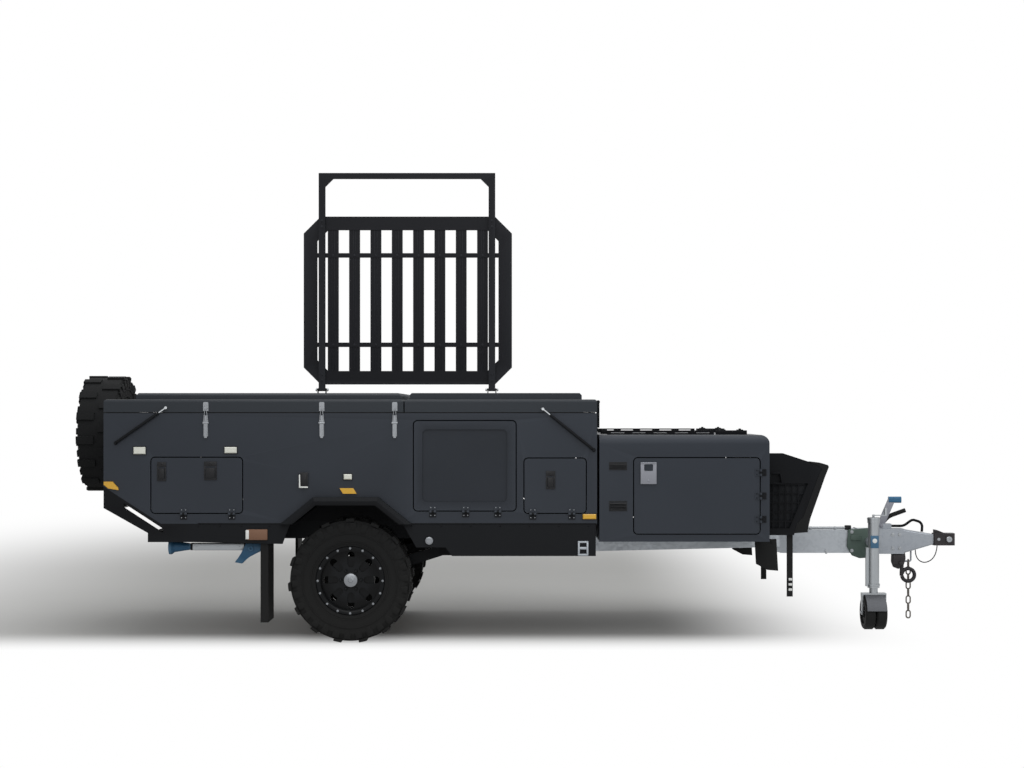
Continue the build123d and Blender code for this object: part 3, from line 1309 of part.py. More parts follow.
def chain_link(centre, length, width, wire, across):
    """One oval link hanging in the Z direction; across picks the plane it lies in."""
    half_run = (length - width) / 2
    reach = width / 2 - wire
    with BuildLine(Plane.XZ if not across else Plane.YZ) as path:
        Line((reach, -half_run), (reach, half_run))
        ThreePointArc((reach, half_run), (0, half_run + reach), (-reach, half_run))
        Line((-reach, half_run), (-reach, -half_run))
        ThreePointArc((-reach, -half_run), (0, -half_run - reach), (reach, -half_run))
    wire_path = path.wire()
    start = Plane(origin=wire_path @ 0, z_dir=wire_path % 0)
    return Pos(*centre) * sweep(start * RegularPolygon(wire, 6), path=wire_path)


CHAIN_X = 3816.0
CHAIN_TOP_Z = 436.0
CHAIN_LINK = 62.0
CHAIN_WIDTH = 38.0
CHAIN_WIRE = 5.0
CHAIN_COUNT = 8


def safety_chain():
    """A chain of interlinked ovals that hangs from the shackle."""
    pitch = CHAIN_LINK - 2 * CHAIN_WIRE - 1.2
    links = []
    for index in range(CHAIN_COUNT):
        centre = (CHAIN_X, 0, CHAIN_TOP_Z - pitch * index)
        links.append(chain_link(centre, CHAIN_LINK, CHAIN_WIDTH, CHAIN_WIRE, index % 2 == 0))
    return links


def shackle_mount():
    """The lug under the coupling, with the bow shackle that holds the chain."""
    low = NOSE_BOTTOM_Z - 6
    bow_radius = CHAIN_WIRE + 1
    bow_z = CHAIN_TOP_Z + CHAIN_LINK / 2 - 2 * CHAIN_WIRE - bow_radius - SEAT
    bow_front = CHAIN_X + 18
    lug = side_plate(
        [
            (CHAIN_X - 90, low + 1),
            (CHAIN_X - 44, low + 1),
            (CHAIN_X - 30, low - 40),
            (CHAIN_X - 62, low - 52),
            (CHAIN_X - 90, low - 30),
        ],
        -14,
        14,
    )
    bow = round_sweep(
        [
            (CHAIN_X - 60, 0, low - 20),
            (CHAIN_X - 60, 0, bow_z),
            (bow_front, 0, bow_z),
            (bow_front, 0, coupling_edges(bow_front)[0] + 6),
        ],
        [12, 12],
        bow_radius,
    )
    return fuse(lug, bow)


CABLE_RADIUS = 3.5
CABLE_TOP = coupling_edges(CHAIN_X + 40)[0] - SEAT
CABLE_ROUTE = [
    (CHAIN_X + 44, -25.0, CABLE_TOP),
    (CHAIN_X + 44, -25.0, HEAD_Z - 130),
    (CHAIN_X + 110, -25.0, HEAD_Z - 172),
    (CHAIN_X + 190, -25.0, HEAD_Z - 120),
    (CHAIN_X + 196, -25.0, HEAD_Z - HEAD_RADIUS - SEAT),
]


def route_radii(points):
    """The largest arcs that a free cable's runs allow, one for each inner point."""
    radii = []
    for before, here, after in zip(points, points[1:], points[2:]):
        first = [b - a for a, b in zip(before, here)]
        second = [b - a for a, b in zip(here, after)]
        runs = [hypot(*first), hypot(*second)]
        turn = acos(sum(a * b for a, b in zip(first, second)) / (runs[0] * runs[1]))
        radii.append(0.45 * min(runs) / tan(turn / 2))
    return radii


def breakaway_cable():
    """The thin cable that hangs in a loop from the coupling body to the head."""
    return round_sweep(CABLE_ROUTE, route_radii(CABLE_ROUTE), CABLE_RADIUS)


# Jockey wheel

SWING_Z = (NOSE_BOTTOM_Z + NOSE_TOP_Z) / 2
JOCKEY_BORE = JOCKEY_TUBE_RADIUS - JOCKEY_WALL
JOCKEY_LEG_RADIUS = 29.0
BOSS_INNER_Y = JOCKEY_Y + JOCKEY_TUBE_RADIUS + 30
FORK_TOP_Z = 2 * JOCKEY_WHEEL_RADIUS + 20
JOCKEY_AXLE_RADIUS = 9.0
JOCKEY_HALF = JOCKEY_WHEEL_WIDTH + JOCKEY_WHEEL_GAP / 2


def jockey_clamp():
    """The plate on the nose beam, its boss and the swing pin."""
    plate_y = -NOSE_WIDTH / 2 - CHEEK
    plate = block(JOCKEY_X - 55, JOCKEY_X + 55, plate_y - 8, plate_y, NOSE_BOTTOM_Z + 10, NOSE_TOP_Z - 10)
    plate = fillet(plate.edges().filter_by(Axis.Y), 16)
    boss = rod((JOCKEY_X, plate_y - 7, SWING_Z), (JOCKEY_X, BOSS_INNER_Y + PIN_PLAY, SWING_Z), 34)
    pin = rod((JOCKEY_X, plate_y - 7, SWING_Z), (JOCKEY_X, BOSS_INNER_Y - 22, SWING_Z), 13)
    return fuse(plate, boss, pin)


def jockey_tube():
    """The outer tube with its swing boss, top cap, crank and gland."""
    x, y = JOCKEY_X, JOCKEY_Y
    low, high = JOCKEY_TUBE_BOTTOM_Z, JOCKEY_TOP_Z
    body = rod((x, y, low), (x, y, high), JOCKEY_TUBE_RADIUS)
    boss = rod((x, BOSS_INNER_Y, SWING_Z), (x, y, SWING_Z), 30)
    cap = rod((x, y, high - 34), (x, y, high), JOCKEY_TUBE_RADIUS + 4)
    ring = rod((x, y, low), (x, y, low + 22), JOCKEY_TUBE_RADIUS + 3)
    strip = block(x - JOCKEY_TUBE_RADIUS - 16, x - JOCKEY_TUBE_RADIUS + 4, y - 14, y + 14, low + 10, SWING_Z - 30)
    crank = rod((x, y, high - 1), (x, y, high + 22), 8)
    arm = block(x - 8, x + 92, y - 9, y + 9, high + 14, high + 20)
    knob = rod((x + 82, y, high + 14), (x + 82, y, high + 66), 11)
    solid = fuse(body, boss, cap, ring, strip, crank, arm, knob)
    solid -= rod((x, y, low + 20), (x, y, high - 30), JOCKEY_BORE)
    solid -= rod((x, y, low - 1), (x, y, low + 21), JOCKEY_LEG_RADIUS + PIN_PLAY)
    pin_end = BOSS_INNER_Y - 24
    return solid - rod((x, BOSS_INNER_Y + 1, SWING_Z), (x, pin_end, SWING_Z), 13 + PIN_PLAY)


def jockey_leg():
    """The inner leg with its guide ring and the bore of the fork's stem."""
    x, y = JOCKEY_X, JOCKEY_Y
    low = FORK_TOP_Z + PIN_PLAY
    leg = rod((x, y, low), (x, y, SWING_Z - 60), JOCKEY_LEG_RADIUS)
    guide = rod((x, y, SWING_Z - 130), (x, y, SWING_Z - 60), JOCKEY_BORE - PIN_PLAY)
    return fuse(leg, guide) - rod((x, y, low - 1), (x, y, low + 62), 14 + PIN_PLAY)


def jockey_fork():
    """The fork with its stem and the axle of the twin wheels."""
    x, y = JOCKEY_X, JOCKEY_Y
    outer = JOCKEY_HALF + 2 + JOCKEY_YOKE_SHEET
    inner = JOCKEY_HALF + 2
    crown = block(x - outer, x + outer, y - 34, y + 34, FORK_TOP_Z - 10, FORK_TOP_Z)
    stem = rod((x, y, FORK_TOP_Z - 2), (x, y, FORK_TOP_Z + 60), 14)
    parts = [crown, stem]
    for side in (-1, 1):
        low, high = sorted((x + side * inner, x + side * outer))
        cheek = [
            (y - 34, FORK_TOP_Z),
            (y + 34, FORK_TOP_Z),
            (y + 18, JOCKEY_WHEEL_RADIUS - 14),
            (y - 18, JOCKEY_WHEEL_RADIUS - 14),
        ]
        parts.append(cross_plate(cheek, low, high))
    reach = outer + 8
    axle = rod((x - reach, y, JOCKEY_WHEEL_RADIUS), (x + reach, y, JOCKEY_WHEEL_RADIUS), JOCKEY_AXLE_RADIUS)
    return fuse(*parts, axle)


def jockey_wheels():
    """The twin wheels, joined by the sleeve they turn on."""
    x, y, z = JOCKEY_X, JOCKEY_Y, JOCKEY_WHEEL_RADIUS
    parts = [rod((x - JOCKEY_HALF, y, z), (x + JOCKEY_HALF, y, z), 24)]
    for side in (-1, 1):
        inner = x + side * JOCKEY_WHEEL_GAP / 2
        outer = x + side * JOCKEY_HALF
        low, high = sorted((inner, outer))
        wheel = rod((low, y, z), (high, y, z), JOCKEY_WHEEL_RADIUS)
        wheel = chamfer(wheel.edges().filter_by(GeomType.CIRCLE), 10)
        groove = tube((outer - side * 10, y, z), (outer + side, y, z), 78, 34)
        parts.append(wheel - groove)
    return fuse(*parts) - rod((x - 200, y, z), (x + 200, y, z), JOCKEY_AXLE_RADIUS + PIN_PLAY)


# Stabiliser legs, stored along the sill with the foot to the rear

LEG_PIN_RADIUS = 7.0
LEG_INNER = LEG_TUBE / 2 - LEG_WALL - LEG_PLAY


def leg_bracket_near():
    """The fork under the outrigger that carries a leg."""
    half = LEG_TUBE / 2 + 1
    outline = [
        (LEG_PIVOT_X - 25, FLOOR_Z - 50),
        (LEG_PIVOT_X + 25, FLOOR_Z - 50),
        (LEG_PIVOT_X + 20, LEG_Z - 18),
        (LEG_PIVOT_X - 20, LEG_Z - 18),
    ]
    parts = [
        side_plate(outline, -LEG_Y - half - 6, -LEG_Y - half),
        side_plate(outline, -LEG_Y + half, -LEG_Y + half + 6),
        block(LEG_PIVOT_X - 25, LEG_PIVOT_X + 25, -LEG_Y - half - 6, -LEG_Y + half + 6, FLOOR_Z - 58, FLOOR_Z - 50),
        rod((LEG_PIVOT_X, -LEG_Y - half - 10, LEG_Z), (LEG_PIVOT_X, -LEG_Y + half + 10, LEG_Z), LEG_PIN_RADIUS),
    ]
    return fuse(*parts)


def leg_tube_near():
    """The outer square tube with its round pivot end."""
    half = LEG_TUBE / 2
    body = block(LEG_PIVOT_X - LEG_LENGTH, LEG_PIVOT_X, -LEG_Y - half, -LEG_Y + half, LEG_Z - half, LEG_Z + half)
    end = rod((LEG_PIVOT_X, -LEG_Y - half, LEG_Z), (LEG_PIVOT_X, -LEG_Y + half, LEG_Z), half)
    inner = half - LEG_WALL
    bore = block(
        LEG_PIVOT_X - LEG_LENGTH - 1,
        LEG_PIVOT_X - 40,
        -LEG_Y - inner,
        -LEG_Y + inner,
        LEG_Z - inner,
        LEG_Z + inner,
    )
    pin = rod((LEG_PIVOT_X, -LEG_Y - 50, LEG_Z), (LEG_PIVOT_X, -LEG_Y + 50, LEG_Z), LEG_PIN_RADIUS + PIN_PLAY)
    return fuse(body, end) - bore - pin


def leg_foot_near():
    """The sliding inner tube with its domed foot."""
    tube_end = LEG_PIVOT_X - LEG_LENGTH
    inner = block(
        tube_end - 20,
        LEG_PIVOT_X - 110,
        -LEG_Y - LEG_INNER,
        -LEG_Y + LEG_INNER,
        LEG_Z - LEG_INNER,
        LEG_Z + LEG_INNER,
    )
    rear = tube_end - FOOT_LENGTH
    plane = Plane(origin=(0, -LEG_Y, LEG_Z), x_dir=(1, 0, 0), z_dir=(0, -1, 0))
    outline = [
        (rear, 0),
        (rear, FOOT_RADIUS),
        (rear + 16, FOOT_RADIUS),
        (rear + 34, FOOT_RADIUS - 14),
        (tube_end - 40, LEG_TUBE / 2 + 4),
        (tube_end - 8, LEG_TUBE / 2),
        (tube_end - 8, 0),
    ]
    foot = revolve(plane * make_face(Polyline(*outline, close=True)), Axis((0, -LEG_Y, LEG_Z), (1, 0, 0)))
    return fuse(inner, foot)


# Flaps, lamps and small fittings

def mud_flap_near():
    """The rubber flap behind the wheel, with its folded outer edge."""
    x = ARCH_FOOT_REAR - 160
    y0, y1 = -TYRE_OUTER_Y + 14, -TYRE_OUTER_Y + TYRE_WIDTH
    sheet = block(x, x + 6, y0, y1, 132, SILL_REAR_BOTTOM_Z + 60)
    fold = block(x - 44, x + 6, y0, y0 + 6, 132, SILL_REAR_BOTTOM_Z + 60)
    hanger = block(x + 6, x + 26, y0, CHASSIS_RAIL_Y * -1 - CHASSIS_RAIL_WIDTH / 2, SILL_REAR_BOTTOM_Z + 24, SILL_REAR_BOTTOM_Z + 60)
    return fuse(sheet, fold, hanger)


def guard_flap_near():
    """The narrow rubber flap under the guard's front corner."""
    x = GUARD_TIP - 212
    return block(x - 26, x + 14, -GUARD_HALF_WIDTH + 30, -GUARD_HALF_WIDTH + 36, GUARD_BOTTOM_Z - 410, GUARD_BOTTOM_Z)


def side_lamp(x0, x1, z0, z1, proud):
    """A small lamp or plate on the near side wall."""
    lamp = block(x0, x1, -BODY_HALF_WIDTH - proud, -BODY_HALF_WIDTH, z0, z1)
    return chamfer(lamp.edges().group_by(Axis.Y)[0], proud * 0.4)


def slanted_lamp(points, proud):
    """A lamp with a slanted outline on the near side wall."""
    return side_plate(points, -BODY_HALF_WIDTH - proud, -BODY_HALF_WIDTH)


REAR_AMBER = [(-1588.0, 1044.0), (-1532.0, 1044.0), (-1494.0, 1002.0), (-1494.0, 990.0), (-1558.0, 1000.0), (-1588.0, 1024.0)]
ARCH_AMBER = [(-66.0, 1002.0), (22.0, 1002.0), (44.0, 966.0), (-44.0, 966.0)]
FRONT_AMBER = (BODY_FRONT - 92, BODY_FRONT - 6, FLOOR_Z + 30, FLOOR_Z + 62)
WHITE_LAMPS = ((-1397.0, -1320.0, 1222.0, 1267.0), (-809.0, -731.0, 1228.0, 1267.0), (-40.0, 12.0, 1058.0, 1092.0))
LAMP_PROUD = 12.0


def amber_lamps_near():
    """The amber lamps: rear corner, over the arch and front corner."""
    return [slanted_lamp(REAR_AMBER, LAMP_PROUD), slanted_lamp(ARCH_AMBER, LAMP_PROUD), side_lamp(*FRONT_AMBER, LAMP_PROUD)]


def white_lamps_near():
    """The white lamps on the side wall."""
    return [side_lamp(*place, LAMP_PROUD) for place in WHITE_LAMPS]


def paddle_lock_near(spec):
    """A recess-framed paddle lock on a hatch."""
    frame = door_prism(spec, 0, BODY_HALF_WIDTH + 5, BODY_HALF_WIDTH, 7)
    x0, x1, z0, z1 = spec
    paddle = door_prism((x0 + 10, x1 - 10, z0 + 12, z1 - 40), 0, BODY_HALF_WIDTH + 10, BODY_HALF_WIDTH + 4, 5)
    return fuse(frame, paddle)


REAR_LOCKS = ((-1243.0, -1189.0, 1050.0, 1168.0), (-940.0, -862.0, 1056.0, 1172.0))
FRONT_LOCK = (1268.0, 1324.0, 998.0, 1110.0)
INLET = (-328.0, -270.0, 1004.0, 1104.0)


TAIL_LAMP_INSETS = (345.0, 245.0, 145.0)


def tail_lamps():
    """Three tail lamps on each end of the bumper bar."""
    lamps = []
    rear = BODY_REAR + 8
    for side in (-1, 1):
        for inset in TAIL_LAMP_INSETS:
            y = side * (BODY_HALF_WIDTH - inset)
            lamp = rod((rear - 16, y, SPARE_ARM_Z - 8), (rear, y, SPARE_ARM_Z - 8), 26)
            lamps.append(lamp)
    return lamps


# Writing the nodes

def solids_of(pieces):
    """The separate solids in one piece or in a list of pieces."""
    found = []
    for piece in pieces if isinstance(pieces, (list, tuple)) else [pieces]:
        found += list(piece.solids())
    return found


def write_node(name, pieces):
    """Move a node to the trailer's middle and write it."""
    moved = [Pos(-MIDDLE_X, 0, 0) * solid for solid in solids_of(pieces)]
    shape = moved[0] if len(moved) == 1 else Compound(children=moved)
    export_step(shape, "parts/" + name + ".step")


def near_and_far(near):
    """A near-side node and its mirror image."""
    return near, far(*near)


def build_nodes():
    """Every node by its name."""
    nodes = {}
    tyre_shape, rim_shape, hub_shape = lugged_tyre(), rim(), hub()
    nodes["tyre_near"], nodes["tyre_far"] = near_and_far([road_wheel(tyre_shape)])
    nodes["rim_near"], nodes["rim_far"] = near_and_far([road_wheel(rim_shape), road_wheel(hub_shape)])
    nodes["spare_tyre"] = spare_wheel(tyre_shape)
    nodes["spare_rim"] = spare_wheel(rim_shape)
    nodes["spare_carrier"] = spare_carrier()
    nodes["suspension_arms"] = both_sides(*suspension_near())
    nodes["chassis_frame"] = chassis_frame() + both_sides(*arm_hanger_near(), leg_bracket_near())
    nodes["sill_panels"] = both_sides(*sill_panels_near())
    nodes["rear_bumper"] = [rear_bumper(), carrier_hinge()]
    nodes["drawbar"] = drawbar()
    nodes["body_floor"] = body_floor()
    nodes["wall_near"] = fuse(side_wall((REAR_HATCH, ENTRY_DOOR, FRONT_HATCH)), side_lamp(*INLET, LAMP_PROUD))
    nodes["wall_far"] = far(side_wall((REAR_HATCH, FRONT_HATCH)))
    nodes["end_walls"] = [wall_rear(), wall_front()]
    nodes["wheel_arches"] = both_sides(*arch_near())
    entry_hinges = bottom_hinges(ENTRY_DOOR_HINGES, ENTRY_DOOR[2], hinge_fixed())
    nodes["door_hinges"] = both_sides(*hatch_hinges_near(), *box_hinges(hinge_fixed())) + entry_hinges
    rear_hatch = hatch_near(REAR_HATCH, REAR_HATCH_HINGES) + [paddle_lock_near(lock) for lock in REAR_LOCKS]
    nodes["rear_hatch_near"], nodes["rear_hatch_far"] = near_and_far(rear_hatch)
    nodes["entry_door"] = entry_door_near()
    front_hatch = hatch_near(FRONT_HATCH, FRONT_HATCH_HINGES) + [paddle_lock_near(FRONT_LOCK)]
    nodes["front_hatch_near"], nodes["front_hatch_far"] = near_and_far(front_hatch)
    nodes["lid_rear"] = (
        [lid(BODY_REAR, LID_SPLIT_X - LID_SPLIT_GAP / 2)]
        + lid_knuckles(REAR_LID_AXIS, BODY_REAR)
        + both_sides(strut_high_stud_near(REAR_STRUT_HIGH))
    )
    nodes["lid_front"] = (
        [lid(LID_SPLIT_X + LID_SPLIT_GAP / 2, BODY_FRONT)]
        + lid_knuckles(FRONT_LID_AXIS, BODY_FRONT)
        + both_sides(strut_high_stud_near(FRONT_STRUT_HIGH))
    )
    nodes["lid_rail_rear"] = lid_rail(BODY_REAR + 2 * LID_BAND_INSET, LID_SPLIT_X - 30)
    nodes["lid_rail_front"] = lid_rail(LID_SPLIT_X + 30, BODY_FRONT - LID_BAND_INSET)
    nodes["body_brackets"] = (
        rack_brackets()
        + lid_hinge_brackets(REAR_LID_AXIS, BODY_REAR)
        + lid_hinge_brackets(FRONT_LID_AXIS, BODY_FRONT)
        + both_sides(strut_low_pin_near(REAR_STRUT_LOW), strut_low_pin_near(FRONT_STRUT_LOW))
    )
    nodes["latch_hooks"] = both_sides(*[latch_hook_near(x) for x in LATCHES_X])
    nodes["latch_bodies"] = both_sides(*[latch_body_near(x) for x in LATCHES_X])
    nodes["strut_tubes_rear"] = both_sides(strut_tube_near(REAR_STRUT_LOW, REAR_STRUT_HIGH))
    nodes["strut_rods_rear"] = both_sides(strut_rod_near(REAR_STRUT_LOW, REAR_STRUT_HIGH))
    nodes["strut_tubes_front"] = both_sides(strut_tube_near(FRONT_STRUT_LOW, FRONT_STRUT_HIGH))
    nodes["strut_rods_front"] = both_sides(strut_rod_near(FRONT_STRUT_LOW, FRONT_STRUT_HIGH))
    nodes["rack"] = fuse(rack_deck(), rack_legs())
    nodes["front_box"] = front_box()
    nodes["box_rails"] = box_rails()
    nodes["box_door_near"], nodes["box_door_far"] = near_and_far(box_door_near())
    nodes["stone_guard"] = stone_guard()
    nodes["guard_mesh"] = guard_mesh()
    nodes["coupling"] = [fuse(coupling(), shackle_mount()), jockey_clamp()]
    nodes["coupling_head"] = coupling_head()
    nodes["brake_lever"] = brake_lever()
    nodes["brake_grip"] = brake_grip()
    nodes["brake_rod"] = brake_rod()
    nodes["breakaway_cable"] = breakaway_cable()
    nodes["safety_chain"] = safety_chain()
    nodes["jockey_tube"] = jockey_tube()
    nodes["jockey_leg"] = jockey_leg()
    nodes["jockey_fork"] = jockey_fork()
    nodes["jockey_wheels"] = jockey_wheels()
    nodes["leg_tube_near"], nodes["leg_tube_far"] = near_and_far([leg_tube_near()])
    nodes["leg_foot_near"], nodes["leg_foot_far"] = near_and_far([leg_foot_near()])
    nodes["flaps"] = both_sides(mud_flap_near(), guard_flap_near())
    nodes["amber_lamps"] = both_sides(*amber_lamps_near())
    nodes["white_lamps"] = both_sides(*white_lamps_near())
    nodes["tail_lamps"] = tail_lamps()
    return nodes


print("cable radii", [round(value, 1) for value in route_radii(CABLE_ROUTE)])
os.makedirs("parts", exist_ok=True)
for node_name, node_pieces in build_nodes().items():
    write_node(node_name, node_pieces)
    print(node_name, len(solids_of(node_pieces)))
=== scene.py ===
"""Off-road folding camper trailer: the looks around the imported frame.

Sizes are in millimetres in the trailer's own drawing frame: X = 0 at the axle, +X towards the
coupling, -Y the near side with the entry door, Z = 0 on the ground. Draft.done moves them to metres.
"""
from __future__ import annotations

import json
import logging
import math
from dataclasses import dataclass
from enum import Enum

import bmesh
import bpy
from mathutils import Matrix, Vector

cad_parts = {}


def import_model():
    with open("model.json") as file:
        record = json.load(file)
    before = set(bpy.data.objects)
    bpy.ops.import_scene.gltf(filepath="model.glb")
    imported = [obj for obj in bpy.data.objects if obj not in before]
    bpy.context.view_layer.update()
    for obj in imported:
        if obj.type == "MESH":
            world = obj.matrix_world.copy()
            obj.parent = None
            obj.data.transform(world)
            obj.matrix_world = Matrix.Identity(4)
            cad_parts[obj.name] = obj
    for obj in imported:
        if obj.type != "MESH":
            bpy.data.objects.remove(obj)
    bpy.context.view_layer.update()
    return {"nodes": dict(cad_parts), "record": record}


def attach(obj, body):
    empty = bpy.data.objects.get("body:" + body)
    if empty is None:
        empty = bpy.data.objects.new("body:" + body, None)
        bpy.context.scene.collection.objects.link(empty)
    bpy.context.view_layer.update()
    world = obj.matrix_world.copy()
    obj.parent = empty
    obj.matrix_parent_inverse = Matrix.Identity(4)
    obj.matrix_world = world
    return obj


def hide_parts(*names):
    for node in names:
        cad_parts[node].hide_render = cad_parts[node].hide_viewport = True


LOG = logging.getLogger("camper")

AXLE_FROM_MIDDLE = -1115.0
MM = 0.001
NEAR_FACE = -905.0
AXLE_Z = 402.0
WHEEL_Y = 770.0
SPARE_PLACE = (-1770.0, 0.0, 1343.0)
SMOOTH_UNDER = math.radians(35.0)

Point = tuple[float, float, float]
Flat = tuple[float, float]
Span = tuple[float, float, float, float]
Tree = bpy.types.NodeTree
Socket = bpy.types.NodeSocket

OUT: Point = (0.0, -1.0, 0.0)
UP: Point = (0.0, 0.0, 1.0)
SIDES = (("near", -1), ("far", 1))


class Across(Enum):
    """The axis that an outline is pushed along."""

    X = "x"
    Y = "y"
    Z = "z"


def to_frame(point: Point) -> Vector:
    """Turn a drawing point in millimetres into a row-frame point in metres."""
    return Vector(((point[0] + AXLE_FROM_MIDDLE) * MM, point[1] * MM, point[2] * MM))


def linear(colour: str) -> tuple[float, float, float, float]:
    """Turn an sRGB hex value into the linear colour that a shader takes.

    Args:
        colour: Six hex digits, such as "2b2f35".

    Returns:
        Linear red, green and blue, and an alpha of 1.
    """
    values = [int(colour[place : place + 2], 16) / 255 for place in (0, 2, 4)]
    light = [v / 12.92 if v <= 0.04045 else ((v + 0.055) / 1.055) ** 2.4 for v in values]
    return (light[0], light[1], light[2], 1.0)


def add_node(tree: Tree, kind: str, values: dict) -> bpy.types.Node:
    """Add one shader node.

    Args:
        tree: The material's node tree.
        kind: The node's Blender type name.
        values: By attribute name, or by input socket name or number. A socket is linked; the rest are set.

    Returns:
        The new node.
    """
    node = tree.nodes.new(kind)
    for name, value in values.items():
        if isinstance(value, Socket):
            tree.links.new(value, node.inputs[name])
        elif isinstance(name, str) and name not in node.inputs and hasattr(node, name):
            setattr(node, name, value)
        else:
            node.inputs[name].default_value = value
    return node


def blend(tree: Tree, share: Socket, first: Socket | tuple, second: Socket | tuple) -> Socket:
    """Return the mix of two colours, from the first at a share of 0 to the second at 1."""
    return add_node(tree, "ShaderNodeMix", {"data_type": "RGBA", 0: share, 6: first, 7: second}).outputs[2]


def combine(tree: Tree, operation: str, first: Socket | float, second: Socket) -> Socket:
    """Return what a maths node makes of two values."""
    return add_node(tree, "ShaderNodeMath", {"operation": operation, 0: first, 1: second}).outputs[0]


@dataclass(frozen=True)
class Finish:
    """A material that starts from a real one and its surface.

    The grain is drawn at a real size, and its light and dark come from two colours of the same coat.
    """

    name: str
    colour: str
    shade: str
    metallic: float = 0.0
    roughness: float = 0.5
    roughness_swing: float = 0.1
    grain_mm: float = 8.0
    bump_mm: float = 0.2
    blotch_mm: float = 320.0
    dust: str = ""
    dust_amount: float = 0.0
    coat: float = 0.0
    # Painted highlight: a lighter colour of the same coat, laid on sharp edges
    edge: str = ""
    glow: float = 0.0
    specular: float = 0.5

    def build(self) -> bpy.types.Material:
        """Make the Blender material of this finish."""
        material = bpy.data.materials.new(self.name)
        material.use_nodes = True
        tree = material.node_tree
        tree.nodes.clear()
        where = add_node(tree, "ShaderNodeTexCoord", {}).outputs["Object"]
        blotch = self.noise(tree, where, self.blotch_mm, 3.0)
        grain = self.grain(tree, where)
        colour = blend(tree, blotch, linear(self.colour), linear(self.shade))
        # Painted highlight on the sharp edges
        if self.edge:
            colour = self.painted_edge_highlight(tree, colour)
        if self.dust_amount:
            colour = self.dusted(tree, where, colour, grain)
        low, high = self.roughness - self.roughness_swing, self.roughness + self.roughness_swing
        rough = add_node(tree, "ShaderNodeMapRange", {3: low, 4: high, 0: grain})
        height = {"Strength": 0.6, "Distance": self.bump_mm * MM, "Height": grain}
        bump = add_node(tree, "ShaderNodeBump", height)
        values = {
            "Metallic": self.metallic,
            "Specular IOR Level": self.specular,
            "Coat Weight": self.coat,
            "Coat Roughness": 0.2,
            "Base Color": colour,
            "Roughness": rough.outputs[0],
            "Normal": bump.outputs[0],
        }
        if self.glow:
            values["Emission Color"] = linear(self.colour)
            values["Emission Strength"] = self.glow
        shader = add_node(tree, "ShaderNodeBsdfPrincipled", values)
        add_node(tree, "ShaderNodeOutputMaterial", {"Surface": shader.outputs[0]})
        return material

    @staticmethod
    def noise(tree: Tree, where: Socket, size_mm: float, detail: float) -> Socket:
        """Return a cloudy pattern of that size, from 0 to 1."""
        values = {"Scale": 1 / (size_mm * MM), "Detail": detail, "Vector": where}
        return add_node(tree, "ShaderNodeTexNoise", values).outputs[0]

    def grain(self, tree: Tree, where: Socket) -> Socket:
        """Return the height of the fine surface grain, from 0 to 1."""
        return self.noise(tree, where, self.grain_mm, 4.0)

    def painted_edge_highlight(self, tree: Tree, colour: Socket) -> Socket:
        """Return the colour with a painted highlight: a little of the lighter edge colour where the surface
        is sharp.
        """
        pointed = add_node(tree, "ShaderNodeNewGeometry", {}).outputs["Pointiness"]
        sharp = add_node(tree, "ShaderNodeMapRange", {1: 0.53, 2: 0.62, 3: 0.0, 4: 0.55, 0: pointed})
        return blend(tree, sharp.outputs[0], colour, linear(self.edge))

    def dusted(self, tree: Tree, where: Socket, colour: Socket, grain: Socket) -> Socket:
        """Return the colour with road dust that thins out with height."""
        height = add_node(tree, "ShaderNodeSeparateXYZ", {"Vector": where}).outputs[2]
        low = add_node(tree, "ShaderNodeMapRange", {1: 0.2, 2: 1.1, 3: self.dust_amount, 4: 0.0, 0: height})
        share = combine(tree, "MULTIPLY", low.outputs[0], grain)
        return blend(tree, share, colour, linear(self.dust))


@dataclass(frozen=True)
class Spangle(Finish):
    """Hot-dip galvanised steel: grey zinc with crystals some centimetres across."""

    crystal_mm: float = 18.0

    def grain(self, tree: Tree, where: Socket) -> Socket:
        """Return the crystals' own levels, which catch the light one by one."""
        cells = add_node(tree, "ShaderNodeTexVoronoi", {"Scale": 1 / (self.crystal_mm * MM), "Vector": where})
        split = add_node(tree, "ShaderNodeSeparateColor", {"Color": cells.outputs["Color"]})
        return split.outputs[0]


@dataclass(frozen=True)
class Ribbed(Finish):
    """A moulded lens or grip whose fine ribs run across its length."""

    rib_mm: float = 5.0

    def grain(self, tree: Tree, where: Socket) -> Socket:
        """Return the height of the ribs."""
        scale = 1 / (self.rib_mm * MM * 20) * 2 * math.pi
        values = {"bands_direction": "X", "Scale": scale, "Vector": where}
        return add_node(tree, "ShaderNodeTexWave", values).outputs[1]


Coats = dict[str, bpy.types.Material]

